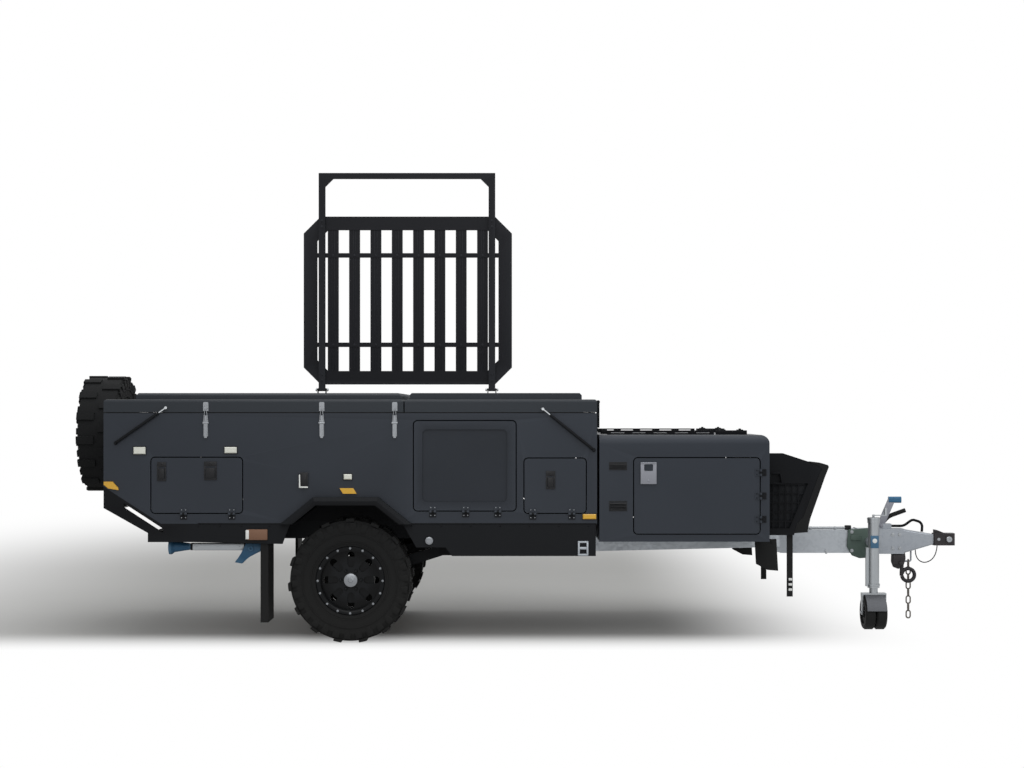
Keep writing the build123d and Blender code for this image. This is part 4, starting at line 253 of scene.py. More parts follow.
# Each finish of the trailer, from a real material's values
FINISHES: tuple[Finish, ...] = (
    # Textured two-pack paint on composite panels: a broad soft sheen with a fine orange peel.
    Finish(
        "body_paint", "24282f", "1f2329", roughness=0.42, roughness_swing=0.06, grain_mm=2.2,
        bump_mm=0.12, dust="6d6a63", dust_amount=0.05, specular=0.17, edge="363b43",
    ),
    # The same paint on the lids, a shade darker and smoother.
    Finish(
        "lid_paint", "191c21", "15181c", roughness=0.36, roughness_swing=0.06, grain_mm=2.2,
        bump_mm=0.1, specular=0.16, edge="34393f",
    ),
    # Black powder coat on the chassis: low gloss, slightly pitted, with dust on the lower faces.
    Finish(
        "black_steel", "0e0f12", "0b0c0e", roughness=0.5, grain_mm=3.0, bump_mm=0.2, dust="4a463f",
        dust_amount=0.05, specular=0.08, edge="1c1e21",
    ),
    # Black powder coat on the aluminium rack: a fine sand texture that dulls the light.
    Finish(
        "rack_black", "17181c", "121317", roughness=0.55, grain_mm=2.0, bump_mm=0.25, specular=0.12,
        edge="34363b",
    ),
    # Hot-dip galvanised drawbar: matt zinc grey whose crystals show one by one.
    Spangle(
        "galvanised", "9ba0a6", "868b92", metallic=0.7, roughness=0.5, roughness_swing=0.12,
        bump_mm=0.05, crystal_mm=16.0, edge="b4b9be",
    ),
    # Bright zinc plate on the jockey wheel's tubes and the small fittings.
    Finish("zinc", "a4a8ab", "8d9195", metallic=0.85, roughness=0.38, grain_mm=5.0, bump_mm=0.05),
    # Brushed stainless steel on the latches.
    Finish("stainless", "8c8f93", "73767a", metallic=0.9, roughness=0.36, grain_mm=1.4, bump_mm=0.04),
    # Anodised aluminium on the box doors' latch plates and the brake arm: an even satin grey.
    Finish("satin_grey", "85878f", "7b7d85", metallic=0.3, roughness=0.55, grain_mm=2.0, bump_mm=0.05),
    # Dull phosphated steel on the jockey wheel's fork cover.
    Finish("dull_steel", "595b60", "4a4c50", metallic=0.4, roughness=0.5, grain_mm=3.0, bump_mm=0.08),
    # Zinc on the chain, aged to a brownish grey.
    Finish("aged_zinc", "6e6963", "5a5550", metallic=0.6, roughness=0.55, grain_mm=3.0, bump_mm=0.1),
    # Grey-green paint on the cast clamp: soft casting texture under the coat.
    Finish(
        "cast_paint", "46564f", "3c4b45", roughness=0.52, grain_mm=4.0, bump_mm=0.5, specular=0.3,
        edge="66766f",
    ),
    # Black enamel on the forged coupling head and on the shackle.
    Finish(
        "forged_black", "141417", "101013", roughness=0.45, grain_mm=4.0, bump_mm=0.4, specular=0.3,
        edge="3a3437",
    ),
    # Gloss black enamel on the steel wheels.
    Finish(
        "wheel_paint", "08090b", "060708", roughness=0.28, grain_mm=3.0, bump_mm=0.08, specular=0.12,
        edge="1d1f22",
    ),
    # Natural rubber tyre: deep matt black, a little dusty in the grooves.
    Finish(
        "tyre_rubber", "141516", "0f1011", roughness=0.85, grain_mm=2.5, bump_mm=0.4, dust="55514a",
        dust_amount=0.08, specular=0.2,
    ),
    # Moulded rubber flaps and wheels.
    Finish(
        "rubber", "121314", "0d0e0f", roughness=0.75, grain_mm=3.0, bump_mm=0.25, dust="55514a",
        dust_amount=0.06, specular=0.2,
    ),
    # Fine steel gauze against stones, blackened.
    Finish(
        "gauze", "111418", "0a0c0f", roughness=0.7, grain_mm=1.6, bump_mm=0.6, blotch_mm=90.0,
        specular=0.2,
    ),
    # Steel-blue powder coat on the stabiliser feet.
    Finish(
        "blue_steel", "2a5474", "234864", roughness=0.45, grain_mm=3.0, bump_mm=0.15, specular=0.25,
        edge="6f93ad",
    ),
    # Moulded polypropylene grip.
    Ribbed("blue_grip", "2f6183", "285574", roughness=0.5, bump_mm=0.5, specular=0.35, rib_mm=6.0),
    # Amber acrylic lens: clear gloss over prisms.
    Ribbed("amber_lens", "c99a12", "ad8110", roughness=0.16, bump_mm=0.5, coat=0.4, glow=0.12, rib_mm=5.0),
    # Red acrylic lens.
    Ribbed("red_lens", "8f1517", "74100f", roughness=0.16, bump_mm=0.5, coat=0.4, rib_mm=5.0),
    # Clear lens over white light strips.
    Ribbed("white_lens", "d2d3ca", "bfc1b8", roughness=0.2, bump_mm=0.4, coat=0.3, glow=0.05, rib_mm=7.0),
    # Chromed piston rod.
    Finish(
        "chromed_rod", "c8cbce", "babec1", metallic=1.0, roughness=0.14, roughness_swing=0.04,
        bump_mm=0.01,
    ),
    # Sealed birch plywood floor.
    Finish("plywood", "6a5238", "58432d", roughness=0.6, grain_mm=14.0, bump_mm=0.2),
    # Glass-filled nylon housings and lock trays.
    Finish("nylon", "121316", "0e0f12", roughness=0.5, grain_mm=1.8, bump_mm=0.15, specular=0.25),
    # Extruded rubber door seal.
    Finish("seal", "0d0e0f", "0a0b0c", roughness=0.65, grain_mm=3.0, bump_mm=0.1, specular=0.2),
    # Enamelled blank plate and marks in off-white.
    Finish("off_white", "dcdedc", "d0d2d0", roughness=0.35, grain_mm=4.0, bump_mm=0.03),
    # Weathered brown cover on the side connector.
    Finish("brown_cover", "7a5b48", "694c3b", roughness=0.6, grain_mm=3.0, bump_mm=0.1, specular=0.3),
)


class Draft:
    """A mesh under construction, in drawing millimetres."""

    def __init__(self) -> None:
        """Start an empty mesh."""
        self.mesh = bmesh.new()

    def block(self, low: Point, high: Point, bevel: float = 1.5) -> Draft:
        """Add a box with rounded edges between two corners."""
        verts = bmesh.ops.create_cube(self.mesh, size=1.0)["verts"]
        size = Vector(high) - Vector(low)
        bmesh.ops.scale(self.mesh, vec=size, verts=verts)
        bmesh.ops.translate(self.mesh, vec=(Vector(high) + Vector(low)) / 2, verts=verts)
        self.soften(verts, min(bevel, min(size) * 0.45))
        return self

    def soften(self, verts: list, bevel: float) -> None:
        """Round the edges between these points."""
        if bevel <= 0:
            return
        edges = list(dict.fromkeys(edge for vert in verts for edge in vert.link_edges))
        bmesh.ops.bevel(
            self.mesh, geom=edges, offset=bevel, segments=2, profile=0.5, affect="EDGES", clamp_overlap=True
        )

    def prism(self, outline: list[Flat], across: Across, low: float, high: float, bevel: float) -> Draft:
        """Push an outline along an axis.

        Args:
            outline: Corners in the two axes that are left, in X, Y, Z order.
            across: The axis of the push.
            low: Where it starts.
            high: Where it ends.
            bevel: The radius of its edges.

        Returns:
            This draft.
        """
        rings = []
        for depth in (low, high):
            rings.append([self.mesh.verts.new(self.spot(a, b, depth, across)) for a, b in outline])
        count = len(outline)
        self.mesh.faces.new(rings[0])
        self.mesh.faces.new(list(reversed(rings[1])))
        for index in range(count):
            nearby = (index + 1) % count
            self.mesh.faces.new([rings[0][nearby], rings[0][index], rings[1][index], rings[1][nearby]])
        self.soften(rings[0] + rings[1], bevel)
        return self

    @staticmethod
    def spot(a: float, b: float, depth: float, across: Across) -> Point:
        """Return the point of an outline's corner at a depth."""
        if across is Across.X:
            return (depth, a, b)
        if across is Across.Y:
            return (a, depth, b)
        return (a, b, depth)

    def lathe(self, profile: list[Flat], centre: Point, axis: Point, steps: int = 24) -> Draft:
        """Turn a profile round an axis.

        Args:
            profile: Radius and height pairs from one end to the other; a radius of 0 closes it.
            centre: Where the height is 0.
            axis: The direction of growing height.
            steps: Corners in a full turn.

        Returns:
            This draft.
        """
        turn = Vector(axis).to_track_quat("Z", "Y").to_matrix()
        rings = []
        for radius, height in profile:
            ring = []
            for step in range(steps if radius > 0 else 1):
                angle = 2 * math.pi * step / steps
                spot = Vector((radius * math.cos(angle), radius * math.sin(angle), height))
                ring.append(self.mesh.verts.new(turn @ spot + Vector(centre)))
            rings.append(ring)
        for lower, upper in zip(rings, rings[1:]):
            for step in range(steps):
                after = (step + 1) % steps
                corners = [lower[step % len(lower)], lower[after % len(lower)]]
                corners += [upper[after % len(upper)], upper[step % len(upper)]]
                self.mesh.faces.new(list(dict.fromkeys(corners)))
        return self

    def bars(self, spans: list[Span], low_y: float, high_y: float, bevel: float) -> Draft:
        """Add rounded boxes of one depth, each from its X and Z limits."""
        for x0, x1, z0, z1 in spans:
            self.block((x0, low_y, z0), (x1, high_y, z1), bevel)
        return self

    def bolt(self, centre: Point, axis: Point, radius: float = 8.0, height: float = 6.0) -> Draft:
        """Add a washer and a domed hexagon head that stands on a surface."""
        washer = [(0, 0), (radius * 1.35, 0), (radius * 1.35, height * 0.2), (0, height * 0.2)]
        self.lathe(washer, centre, axis, 16)
        head = [(0, 0), (radius, 0), (radius, height * 0.8), (radius * 0.8, height), (0, height)]
        return self.lathe(head, centre, axis, 6)

    def screw(self, centre: Point, radius: float) -> Draft:
        """Add a low domed screw head with a socket on a near-side face."""
        profile = [(0, 0), (radius, 0), (radius * 0.86, radius * 0.32), (radius * 0.45, radius * 0.5)]
        profile += [(radius * 0.4, radius * 0.2), (0, radius * 0.2)]
        return self.lathe(profile, centre, OUT, 12)

    def near_frame(self, span: Span, width: float, proud: float) -> Draft:
        """Add a frame of four rounded bars round a rectangle on the near side's face.

        Args:
            span: The rectangle's rear, front, low and high edges.
            width: The width of the bars, measured inwards.
            proud: How far they stand off the face.

        Returns:
            This draft.
        """
        x0, x1, z0, z1 = span
        inset = width * 0.6
        spans = [(x0, x1, z0, z0 + width), (x0, x1, z1 - width, z1)]
        spans += [(x0, x0 + width, z0 + inset, z1 - inset), (x1 - width, x1, z0 + inset, z1 - inset)]
        return self.bars(spans, NEAR_FACE - proud, NEAR_FACE + 1, min(2.0, width * 0.3))

    def tube(self, points: list[Point], radius: float, sides: int = 10) -> Draft:
        """Sweep a round section along points that already lie on a smooth line."""
        path = [Vector(point) for point in points]
        heading = (path[1] - path[0]).normalized()
        side = heading.orthogonal().normalized()
        rings = []
        for index, point in enumerate(path):
            before = path[max(index - 1, 0)]
            after = path[min(index + 1, len(path) - 1)]
            new_heading = (after - before).normalized()
            side = heading.rotation_difference(new_heading) @ side
            heading = new_heading
            other = heading.cross(side)
            ring = []
            for step in range(sides):
                angle = 2 * math.pi * step / sides
                spoke = math.cos(angle) * side + math.sin(angle) * other
                ring.append(self.mesh.verts.new(point + radius * spoke))
            rings.append(ring)
        for lower, upper in zip(rings, rings[1:]):
            for step in range(sides):
                after_step = (step + 1) % sides
                self.mesh.faces.new([lower[step], lower[after_step], upper[after_step], upper[step]])
        self.mesh.faces.new(list(reversed(rings[0])))
        self.mesh.faces.new(rings[-1])
        return self

    def turned(self, matrix: Matrix) -> Draft:
        """Move everything drawn so far by a matrix."""
        bmesh.ops.transform(self.mesh, matrix=matrix, verts=self.mesh.verts)
        return self

    def sided(self, mark: int) -> Draft:
        """Flip everything drawn so far to the far side if the mark is positive."""
        if mark > 0:
            self.turned(Matrix.Scale(-1, 4, (0, 1, 0)))
        return self

    def mirrored(self) -> Draft:
        """Add the mirror image on the far side."""
        drawn = self.mesh.verts[:] + self.mesh.edges[:] + self.mesh.faces[:]
        made = bmesh.ops.duplicate(self.mesh, geom=drawn)
        verts = [item for item in made["geom"] if isinstance(item, bmesh.types.BMVert)]
        faces = [item for item in made["geom"] if isinstance(item, bmesh.types.BMFace)]
        for vert in verts:
            vert.co.y = -vert.co.y
        bmesh.ops.reverse_faces(self.mesh, faces=faces)
        return self

    def done(self, name: str, material: bpy.types.Material, slot: str, body: str = "trailer") -> None:
        """Turn the draft into a piece that rides on a body.

        Args:
            name: The piece's name.
            material: Its finish.
            slot: The record's material slot that the finish belongs to; not used.
            body: The CAD body that it rides on.
        """
        bmesh.ops.recalc_face_normals(self.mesh, faces=self.mesh.faces)
        for vert in self.mesh.verts:
            vert.co = to_frame(tuple(vert.co))
        data = bpy.data.meshes.new(name)
        self.mesh.to_mesh(data)
        self.mesh.free()
        data.materials.append(material)
        data.shade_smooth()
        data.set_sharp_from_angle(angle=SMOOTH_UNDER)
        piece = bpy.data.objects.new(name, data)
        bpy.context.scene.collection.objects.link(piece)
        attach(piece, body)
        LOG.info("%s rides on %s", name, body)


def arc(centre: Point, radius: float, start: float, end: float, across: Across, steps: int) -> list[Point]:
    """Return points on a circle's arc, with angles in degrees in the plane square to the axis."""
    points = []
    for step in range(steps + 1):
        angle = math.radians(start + (end - start) * step / steps)
        a, b = radius * math.cos(angle), radius * math.sin(angle)
        x, y, z = Draft.spot(a, b, 0.0, across)
        points.append((centre[0] + x, centre[1] + y, centre[2] + z))
    return points


def leaf_screws(
    moving: list[Point], fixed: list[Point], body: str, word: str, coat: bpy.types.Material
) -> None:
    """Add the screws of a door's hinges.

    Args:
        moving: The near-side places of the screws on the door's leaves.
        fixed: The near-side places of the screws on the fixed leaves.
        body: The door's body, whose name tells its side.
        word: What the fixed leaves sit on.
        coat: The screws' finish.
    """
    mark = 1 if body.endswith("far") else -1
    for places, owner, ending in ((moving, body, "_leaf_screws"), (fixed, "trailer", f"_{word}_screws")):
        screws = Draft()
        for place in places:
            screws.screw(place, 4.0)
        screws.sided(mark).done(body + ending, coat, "hinge_black", owner)


# The material slots whose finish has another name than the slot
SLOT_FINISHES = {
    "hinge_black": "black_steel",
    "chain_zinc": "aged_zinc",
    "coupling_cast": "galvanised",
    "coupling_head_black": "forged_black",
    "latch_steel": "stainless",
    "mesh_wire": "black_steel",
    "wheel_silver": "wheel_paint",
    "rod_steel": "chromed_rod",
    "strut_black": "black_steel",
    "cable_sleeve": "rubber",
}


def dress_cad(frame: dict, coats: Coats) -> None:
    """Give every CAD node the finish of its material slot.

    Args:
        coats: The built finishes.
    """
    for part in frame["record"]["subparts"]:
        node = frame["nodes"].get(part["node"])
        if node is None:
            continue
        slot = part["material_slot"]
        node.data.materials.clear()
        node.data.materials.append(coats[SLOT_FINISHES.get(slot, slot)])
        LOG.info("%s wears %s", part["node"], slot)


@dataclass
class Wheel:
    """A road wheel's dressing: clamp ring, ring bolts, wheel nuts, hub cap and tyre wall pattern.

    It is drawn round the Y axis at the origin with its outer face at -Y, then placed.
    """

    body: str
    placing: Matrix
    tyre_outer: float = 135.0
    flange_face: float = 119.0
    disc_face: float = 64.0
    ring_inner: float = 196.0
    ring_outer: float = 224.0
    bolt_circle: float = 210.0
    bolt_count: int = 16
    nut_circle: float = 66.0
    nut_count: int = 6
    wall_lugs: int = 30

    def build(self, coats: Coats) -> None:
        """Make the wheel's pieces."""
        face = self.flange_face
        ring = Draft()
        low, high = self.ring_inner, self.ring_outer
        profile = [(low, face - 2), (low, face + 4), (low + 4, face + 6)]
        profile += [(high - 6, face + 6), (high - 1, face + 2), (high, face - 1)]
        ring.lathe(profile, (0, 0, 0), OUT, 64)
        ring.turned(self.placing)
        ring.done(self.body + "_clamp_ring", coats["wheel_paint"], "wheel_silver", self.body)
        bolts = Draft()
        for spot in self.circle(self.bolt_circle, self.bolt_count, -(face + 6)):
            bolts.bolt(spot, OUT, 5.5, 5.0)
        bolts.turned(self.placing).done(self.body + "_ring_bolts", coats["stainless"], "zinc", self.body)
        nuts = Draft()
        for spot in self.circle(self.nut_circle, self.nut_count, -self.disc_face):
            nuts.lathe([(11, 0), (10, 12), (7, 20), (0, 22)], spot, OUT, 6)
        nuts.turned(self.placing).done(self.body + "_nuts", coats["wheel_paint"], "wheel_silver", self.body)
        cap = Draft()
        front = self.disc_face + 22
        profile = [(46, self.disc_face), (46, front), (43, front + 5), (34, front + 8), (0, front + 9)]
        cap.lathe(profile, (0, 0, 0), OUT, 40)
        cap.lathe([(18, front + 7), (18, front + 11), (15, front + 13), (0, front + 13)], (0, 0, 0), OUT, 6)
        cap.turned(self.placing).done(self.body + "_hub_cap", coats["stainless"], "zinc", self.body)
        self.tyre_wall(coats)

    @staticmethod
    def circle(radius: float, count: int, y: float) -> list[Point]:
        """Return evenly spaced points on a circle round the wheel's axis."""
        spots = []
        for index in range(count):
            angle = 2 * math.pi * index / count
            spots.append((radius * math.cos(angle), y, radius * math.sin(angle)))
        return spots

    def tyre_wall(self, coats: Coats) -> None:
        """Add the ribs and shoulder blocks of both tyre walls."""
        wall = Draft()
        for side in (-1, 1):
            out = (0.0, float(side), 0.0)
            for radius, height in ((244, 125.0), (256, 127.5), (306, 133.8)):
                profile = [(radius - 4, height - 3), (radius - 2.5, height + 1.6)]
                profile += [(radius + 2.5, height + 1.9), (radius + 4, height - 3)]
                wall.lathe(profile, (0, 0, 0), out, 72)
            for index in range(self.wall_lugs):
                turn = Matrix.Rotation(2 * math.pi * (index + 0.25) / self.wall_lugs, 4, "Y")
                self.shoulder_block(wall, side, turn, 318.0 if index % 2 else 328.0)
        wall.turned(self.placing)
        wall.done(self.body + "_tyre_wall", coats["tyre_rubber"], "tyre_rubber", self.body)

    def shoulder_block(self, wall: Draft, side: int, turn: Matrix, low: float) -> None:
        """Add one raised block near the tread's shoulder."""
        half_low, half_high, middle, top = 13.0, 22.0, 352.0, 376.0
        outline = [(-half_low, low), (half_low, low), (half_high, middle), (half_high, top)]
        outline += [(-half_high, top), (-half_high, middle)]
        face = self.tyre_outer
        part = Draft()
        low_y, high_y = (face - 16, face + 1.5) if side > 0 else (-face - 1.5, -face + 16)
        part.prism(outline, Across.Y, low_y, high_y, 2.0)
        bmesh.ops.transform(part.mesh, matrix=turn, verts=part.mesh.verts)
        data = bpy.data.meshes.new("block")
        part.mesh.to_mesh(data)
        part.mesh.free()
        wall.mesh.from_mesh(data)
        bpy.data.meshes.remove(data)


@dataclass
class Lids:
    """The lids' dressing: the seal at the seam and the latches' screws."""

    latches_x: tuple[float, ...] = (-931.0, -182.0, 289.0)
    seam_z: float = 1486.0
    rear_x: float = -1592.0
    front_x: float = 1596.0

    def build(self, coats: Coats) -> None:
        """Make the pieces on the wall and on the rear lid."""
        seal = Draft()
        span = (self.rear_x + 12, self.front_x - 12, self.seam_z - 1, self.seam_z + 5.6)
        seal.bars([span], NEAR_FACE + 4, NEAR_FACE + 16, 1.2)
        seal.mirrored().done("seam_seal", coats["seal"], "rubber")
        screws = Draft()
        for x in self.latches_x:
            for z in (self.seam_z - 22, self.seam_z - 40):
                for offset in (-8, 8):
                    screws.screw((x + offset, NEAR_FACE - 5, z), 3.4)
        screws.mirrored().done("latch_body_screws", coats["stainless"], "latch_steel")
        hooks = Draft()
        for x in self.latches_x:
            for offset in (-9, 9):
                hooks.screw((x + offset, NEAR_FACE - 4, self.seam_z + 46), 3.4)
        hooks.mirrored().done("latch_hook_screws", coats["stainless"], "latch_steel", "rear_lid")


@dataclass
class Doors:
    """The dressing of the doors: lock trays, hinge screws and the power inlet."""

    rear_locks: tuple[Span, ...] = ((-1243.0, -1189.0, 1050.0, 1168.0), (-940.0, -862.0, 1056.0, 1172.0))
    front_lock: Span = (1268.0, 1324.0, 998.0, 1110.0)
    inlet: Span = (-328.0, -270.0, 1004.0, 1104.0)
    rear_hinges: tuple[float, ...] = (-1074.0, -763.0)
    entry_hinges: tuple[float, ...] = (535.0, 748.0, 955.0)
    front_hinges: tuple[float, ...] = (1181.0, 1433.0)
    hatch_foot: float = 835.0
    entry_foot: float = 850.0
    tray_proud: float = 6.5

    def build(self, coats: Coats) -> None:
        """Make every door's pieces on both sides."""
        for side, mark in SIDES:
            self.locks(coats, self.rear_locks, "hatch_rear_" + side, mark)
            self.locks(coats, (self.front_lock,), "hatch_front_" + side, mark)
        self.hinge_screws(coats)
        self.side_inlet(coats)

    def locks(self, coats: Coats, places: tuple[Span, ...], body: str, mark: int) -> None:
        """Add the nylon trays and paddles of one hatch's locks."""
        tray = Draft()
        for x0, x1, z0, z1 in places:
            spans = [(x0 - 2, x1 + 2, z0 - 2, z0 + 9), (x0 - 2, x1 + 2, z1 - 30, z1 + 2)]
            spans += [(x0 - 2, x0 + 8, z0 + 5, z1 - 26), (x1 - 8, x1 + 2, z0 + 5, z1 - 26)]
            tray.bars(spans, NEAR_FACE - self.tray_proud, NEAR_FACE + 1, 2.0)
            tray.bars([(x0 + 9, x1 - 9, z0 + 11, z1 - 38)], NEAR_FACE - 12, NEAR_FACE - 3, 3.0)
            barrel = [(11, 0), (11, 3), (9, 4.5), (5, 4.5), (5, 2), (0, 2)]
            tray.lathe(barrel, ((x0 + x1) / 2, NEAR_FACE - 6, z1 - 15), OUT, 20)
        tray.sided(mark).done(body + "_locks", coats["nylon"], "hinge_black", body)

    def hinge_screws(self, coats: Coats) -> None:
        """Add the screws of the bottom hinges: two on each wall leaf and two on each door leaf."""
        for body, spots, foot in (
            ("hatch_rear_near", self.rear_hinges, self.hatch_foot),
            ("hatch_rear_far", self.rear_hinges, self.hatch_foot),
            ("door_entry", self.entry_hinges, self.entry_foot),
            ("hatch_front_near", self.front_hinges, self.hatch_foot),
            ("hatch_front_far", self.front_hinges, self.hatch_foot),
        ):
            columns = [x + offset for x in spots for offset in (-13, 13)]
            moving = [(x, NEAR_FACE - 4, foot + 26) for x in columns]
            fixed = [(x, NEAR_FACE - 4, foot - 24) for x in columns]
            leaf_screws(moving, fixed, body, "wall", coats["stainless"])

    def side_inlet(self, coats: Coats) -> None:
        """Add the power inlet: a dark tray with a pale L-shaped edge."""
        x0, x1, z0, z1 = self.inlet
        tray = Draft()
        tray.bars([(x0 + 8, x1, z0 + 10, z1)], NEAR_FACE - 15, NEAR_FACE - 11, 1.8)
        tray.bars([(x0 + 16, x1 - 8, z0 + 22, z1 - 12)], NEAR_FACE - 18, NEAR_FACE - 13, 2.0)
        tray.done("power_inlet", coats["nylon"], "hinge_black")
        edge = Draft()
        outline = [(x0, z0), (x1, z0), (x1, z0 + 9), (x0 + 8, z0 + 9), (x0 + 8, z1 - 14), (x0, z1 - 14)]
        edge.prism(outline, Across.Y, NEAR_FACE - 17, NEAR_FACE - 11, 1.5)
        edge.done("power_inlet_edge", coats["off_white"], "white_lens")


@dataclass
class FrontBox:
    """The front box's vents, latch plates, hinge screws and rail ends."""

    vent_x: tuple[float, float] = (1674.0, 1790.0)
    vent_z: tuple[Flat, ...] = ((1118.0, 1170.0), (853.0, 918.0))
    vent_slats: int = 5
    face: float = -895.0
    latch: Span = (1877.0, 1981.0, 1027.0, 1169.0)
    hinge_z: tuple[float, ...] = (800.0, 951.0, 1102.0)
    hinge_x: float = 2655.0
    rail_x: tuple[float, float] = (2387.0, 2590.0)
    rail_y: tuple[float, float] = (-700.0, 480.0)
    rail_z: tuple[float, float] = (1345.0, 1373.0)
    tie_downs_x: tuple[float, ...] = (1650.0, 2430.0, 2545.0)

    def build(self, coats: Coats) -> None:
        """Make the pieces on both sides."""
        self.rail_ends(coats)
        self.vents(coats)
        for side, mark in SIDES:
            self.latch_plate(coats, "door_box_" + side, mark)
            self.hinge_screws(coats, "door_box_" + side)

    def vents(self, coats: Coats) -> None:
        """Add the framed louvres behind each door."""
        vents = Draft()
        x0, x1 = self.vent_x
        for low, high in self.vent_z:
            spans = [(x0, x1, low, low + 7), (x0, x1, high - 7, high)]
            spans += [(x0, x0 + 7, low + 3, high - 3), (x1 - 7, x1, low + 3, high - 3)]
            vents.bars(spans, self.face - 3, self.face + 1, 1.5)
            for index in range(self.vent_slats):
                z = low + 8 + (high - low - 16) * (index + 0.5) / self.vent_slats
                back = self.face + 1
                slat = [(self.face - 7, z - 5), (self.face - 5, z - 6), (back, z + 3), (back, z + 5)]
                vents.prism(slat, Across.X, x0 + 5, x1 - 5, 0.0)
        vents.mirrored().done("box_vents", coats["nylon"], "hinge_black")

    def latch_plate(self, coats: Coats, body: str, mark: int) -> None:
        """Add the plain plate over the solid latch, with its raised strip and its lock."""
        x0, x1, z0, z1 = self.latch
        face = self.face - 6
        plate = Draft()
        plate.bars([(x0, x1, z0, z1)], face - 5, face + 5, 4.0)
        strip = [(x0 + 3, z1 - 3), (x1 - 3, z1 - 3), (x1 - 3, z1 - 9), (x0 + 3, z1 - 9)]
        plate.prism(strip, Across.Y, face - 9, face - 4, 1.5)
        plate.lathe([(8, 0), (8, 2), (6, 3), (0, 3)], ((x0 + x1) / 2, face - 5, z0 + 24), OUT, 20)
        plate.sided(mark).done(body + "_latch", coats["satin_grey"], "latch_steel", body)

    def hinge_screws(self, coats: Coats, body: str) -> None:
        """Add the screws of one door's hinges, on the door and on the box's post."""
        rows = [z + offset for z in self.hinge_z for offset in (-13, 13)]
        moving = [(self.hinge_x - 26, self.face - 4, z) for z in rows]
        fixed = [(self.hinge_x + 24, self.face - 4, z) for z in rows]
        leaf_screws(moving, fixed, body, "post", coats["black_steel"])

    def rail_ends(self, coats: Coats) -> None:
        """Carry the two roof rails on to the box's front, with their tie-down feet."""
        rails = Draft()
        x0, x1 = self.rail_x
        low, high = self.rail_z
        for y in self.rail_y:
            rails.block((x0, y - 20, low), (x1, y + 20, low + 6))
            rails.block((x0, y - 20, low + 5), (x1, y - 15, high))
            rails.block((x0, y + 15, low + 5), (x1, y + 20, high))
            for x in self.tie_downs_x:
                rails.block((x - 22, y - 14, low + 4), (x + 22, y + 14, high + 5), 3.0)
                rails.lathe([(9, 0), (9, 4), (6, 7), (0, 7)], (x, y, high + 5), UP, 6)
        rails.done("box_rail_ends", coats["black_steel"], "black_steel")


@dataclass
class Lamps:
    """The bezels round the lamps, the tail lamps' rings and the blank plate at the back."""

    white: tuple[Span, ...] = (
        (-1397.0, -1320.0, 1222.0, 1267.0),
        (-809.0, -731.0, 1228.0, 1267.0),
        (-40.0, 12.0, 1058.0, 1092.0),
    )
    front_amber: Span = (1504.0, 1590.0, 802.0, 834.0)
    tail_x: float = -1584.0
    tail_y: tuple[float, ...] = (560.0, 660.0, 760.0)
    tail_z: float = 897.0
    plate_y: tuple[float, float] = (-525.0, -155.0)
    plate_z: tuple[float, float] = (842.0, 962.0)

    def build(self, coats: Coats) -> None:
        """Make the bezels and the plate."""
        bezel = Draft()
        for x0, x1, z0, z1 in self.white + (self.front_amber,):
            bezel.near_frame((x0 - 5, x1 + 5, z0 - 5, z1 + 5), 7, 7)
        bezel.mirrored().done("lamp_bezels", coats["nylon"], "hinge_black")
        rings = Draft()
        profile = [(25, 2), (25, 13), (28, 18), (33, 15), (35, 2)]
        for side in (-1, 1):
            for y in self.tail_y:
                rings.lathe(profile, (self.tail_x, side * y, self.tail_z), (-1, 0, 0), 28)
        rings.done("tail_lamp_rings", coats["nylon"], "hinge_black")
        plate = Draft()
        (y0, y1), (z0, z1) = self.plate_y, self.plate_z
        plate.block((self.tail_x - 14, y0, z0), (self.tail_x - 2, y1, z1), 2.0)
        plate.done("blank_plate", coats["off_white"], "white_lens")


@dataclass
class Rack:
    """The raised rack's slat edges and bolts, and the bolts of its brackets on the wall."""

    slats: int = 8
    slat_width: float = 82.0
    slat_low: float = 1802.0
    slat_high: float = 2866.0
    field_rear: float = -424.0
    field_front: float = 944.0
    near_face: float = 957.0
    bar_face: float = 952.0
    bars_z: tuple[float, ...] = (2000.0, 2675.0)
    legs_x: tuple[float, ...] = (-386.0, 895.0)
    leg_bolts_z: tuple[float, ...] = (1730.0, 1775.0, 2890.0, 2935.0)
    foot_bolts_z: tuple[float, ...] = (1376.0, 1440.0)
    hinge_z: float = 1660.0
    pivot_y: float = 941.0

    def build(self, coats: Coats) -> None:
        """Make the rack's pieces."""
        gap = (self.field_front - self.field_rear - self.slats * self.slat_width) / (self.slats + 1)
        edges, bolts = Draft(), Draft()
        for index in range(self.slats):
            x0 = self.field_rear + gap + index * (gap + self.slat_width)
            x1 = x0 + self.slat_width
            middle = (x0 + x1) / 2
            folds = ((x0, x0 + 7), (x1 - 7, x1), (middle - 12, middle - 7), (middle + 7, middle + 12))
            for low, high in folds:
                span = (low, high, self.slat_low, self.slat_high)
                edges.bars([span], self.near_face - 3, self.near_face + 1, 1.2)
            for z in self.bars_z:
                bolts.bolt((middle, self.bar_face, z), OUT, 6.5, 5.0)
        edges.done("rack_slat_edges", coats["rack_black"], "rack_black", "roof_rack")
        for x in self.legs_x:
            for z in self.leg_bolts_z:
                bolts.bolt((x, self.bar_face - 22, z), OUT, 7.0, 5.5)
        bolts.done("rack_bolts", coats["rack_black"], "rack_black", "roof_rack")
        feet = Draft()
        for x in self.legs_x:
            for side in (-1, 1):
                feet.bolt((x + side * 40, self.pivot_y, self.hinge_z), (side, 0, 0), 11.0, 9.0)
                for z in self.foot_bolts_z:
                    feet.bolt((x + side * 12, 17 - NEAR_FACE, z), (0, 1, 0), 7.0, 5.5)
        feet.done("rack_bracket_bolts", coats["zinc"], "zinc")


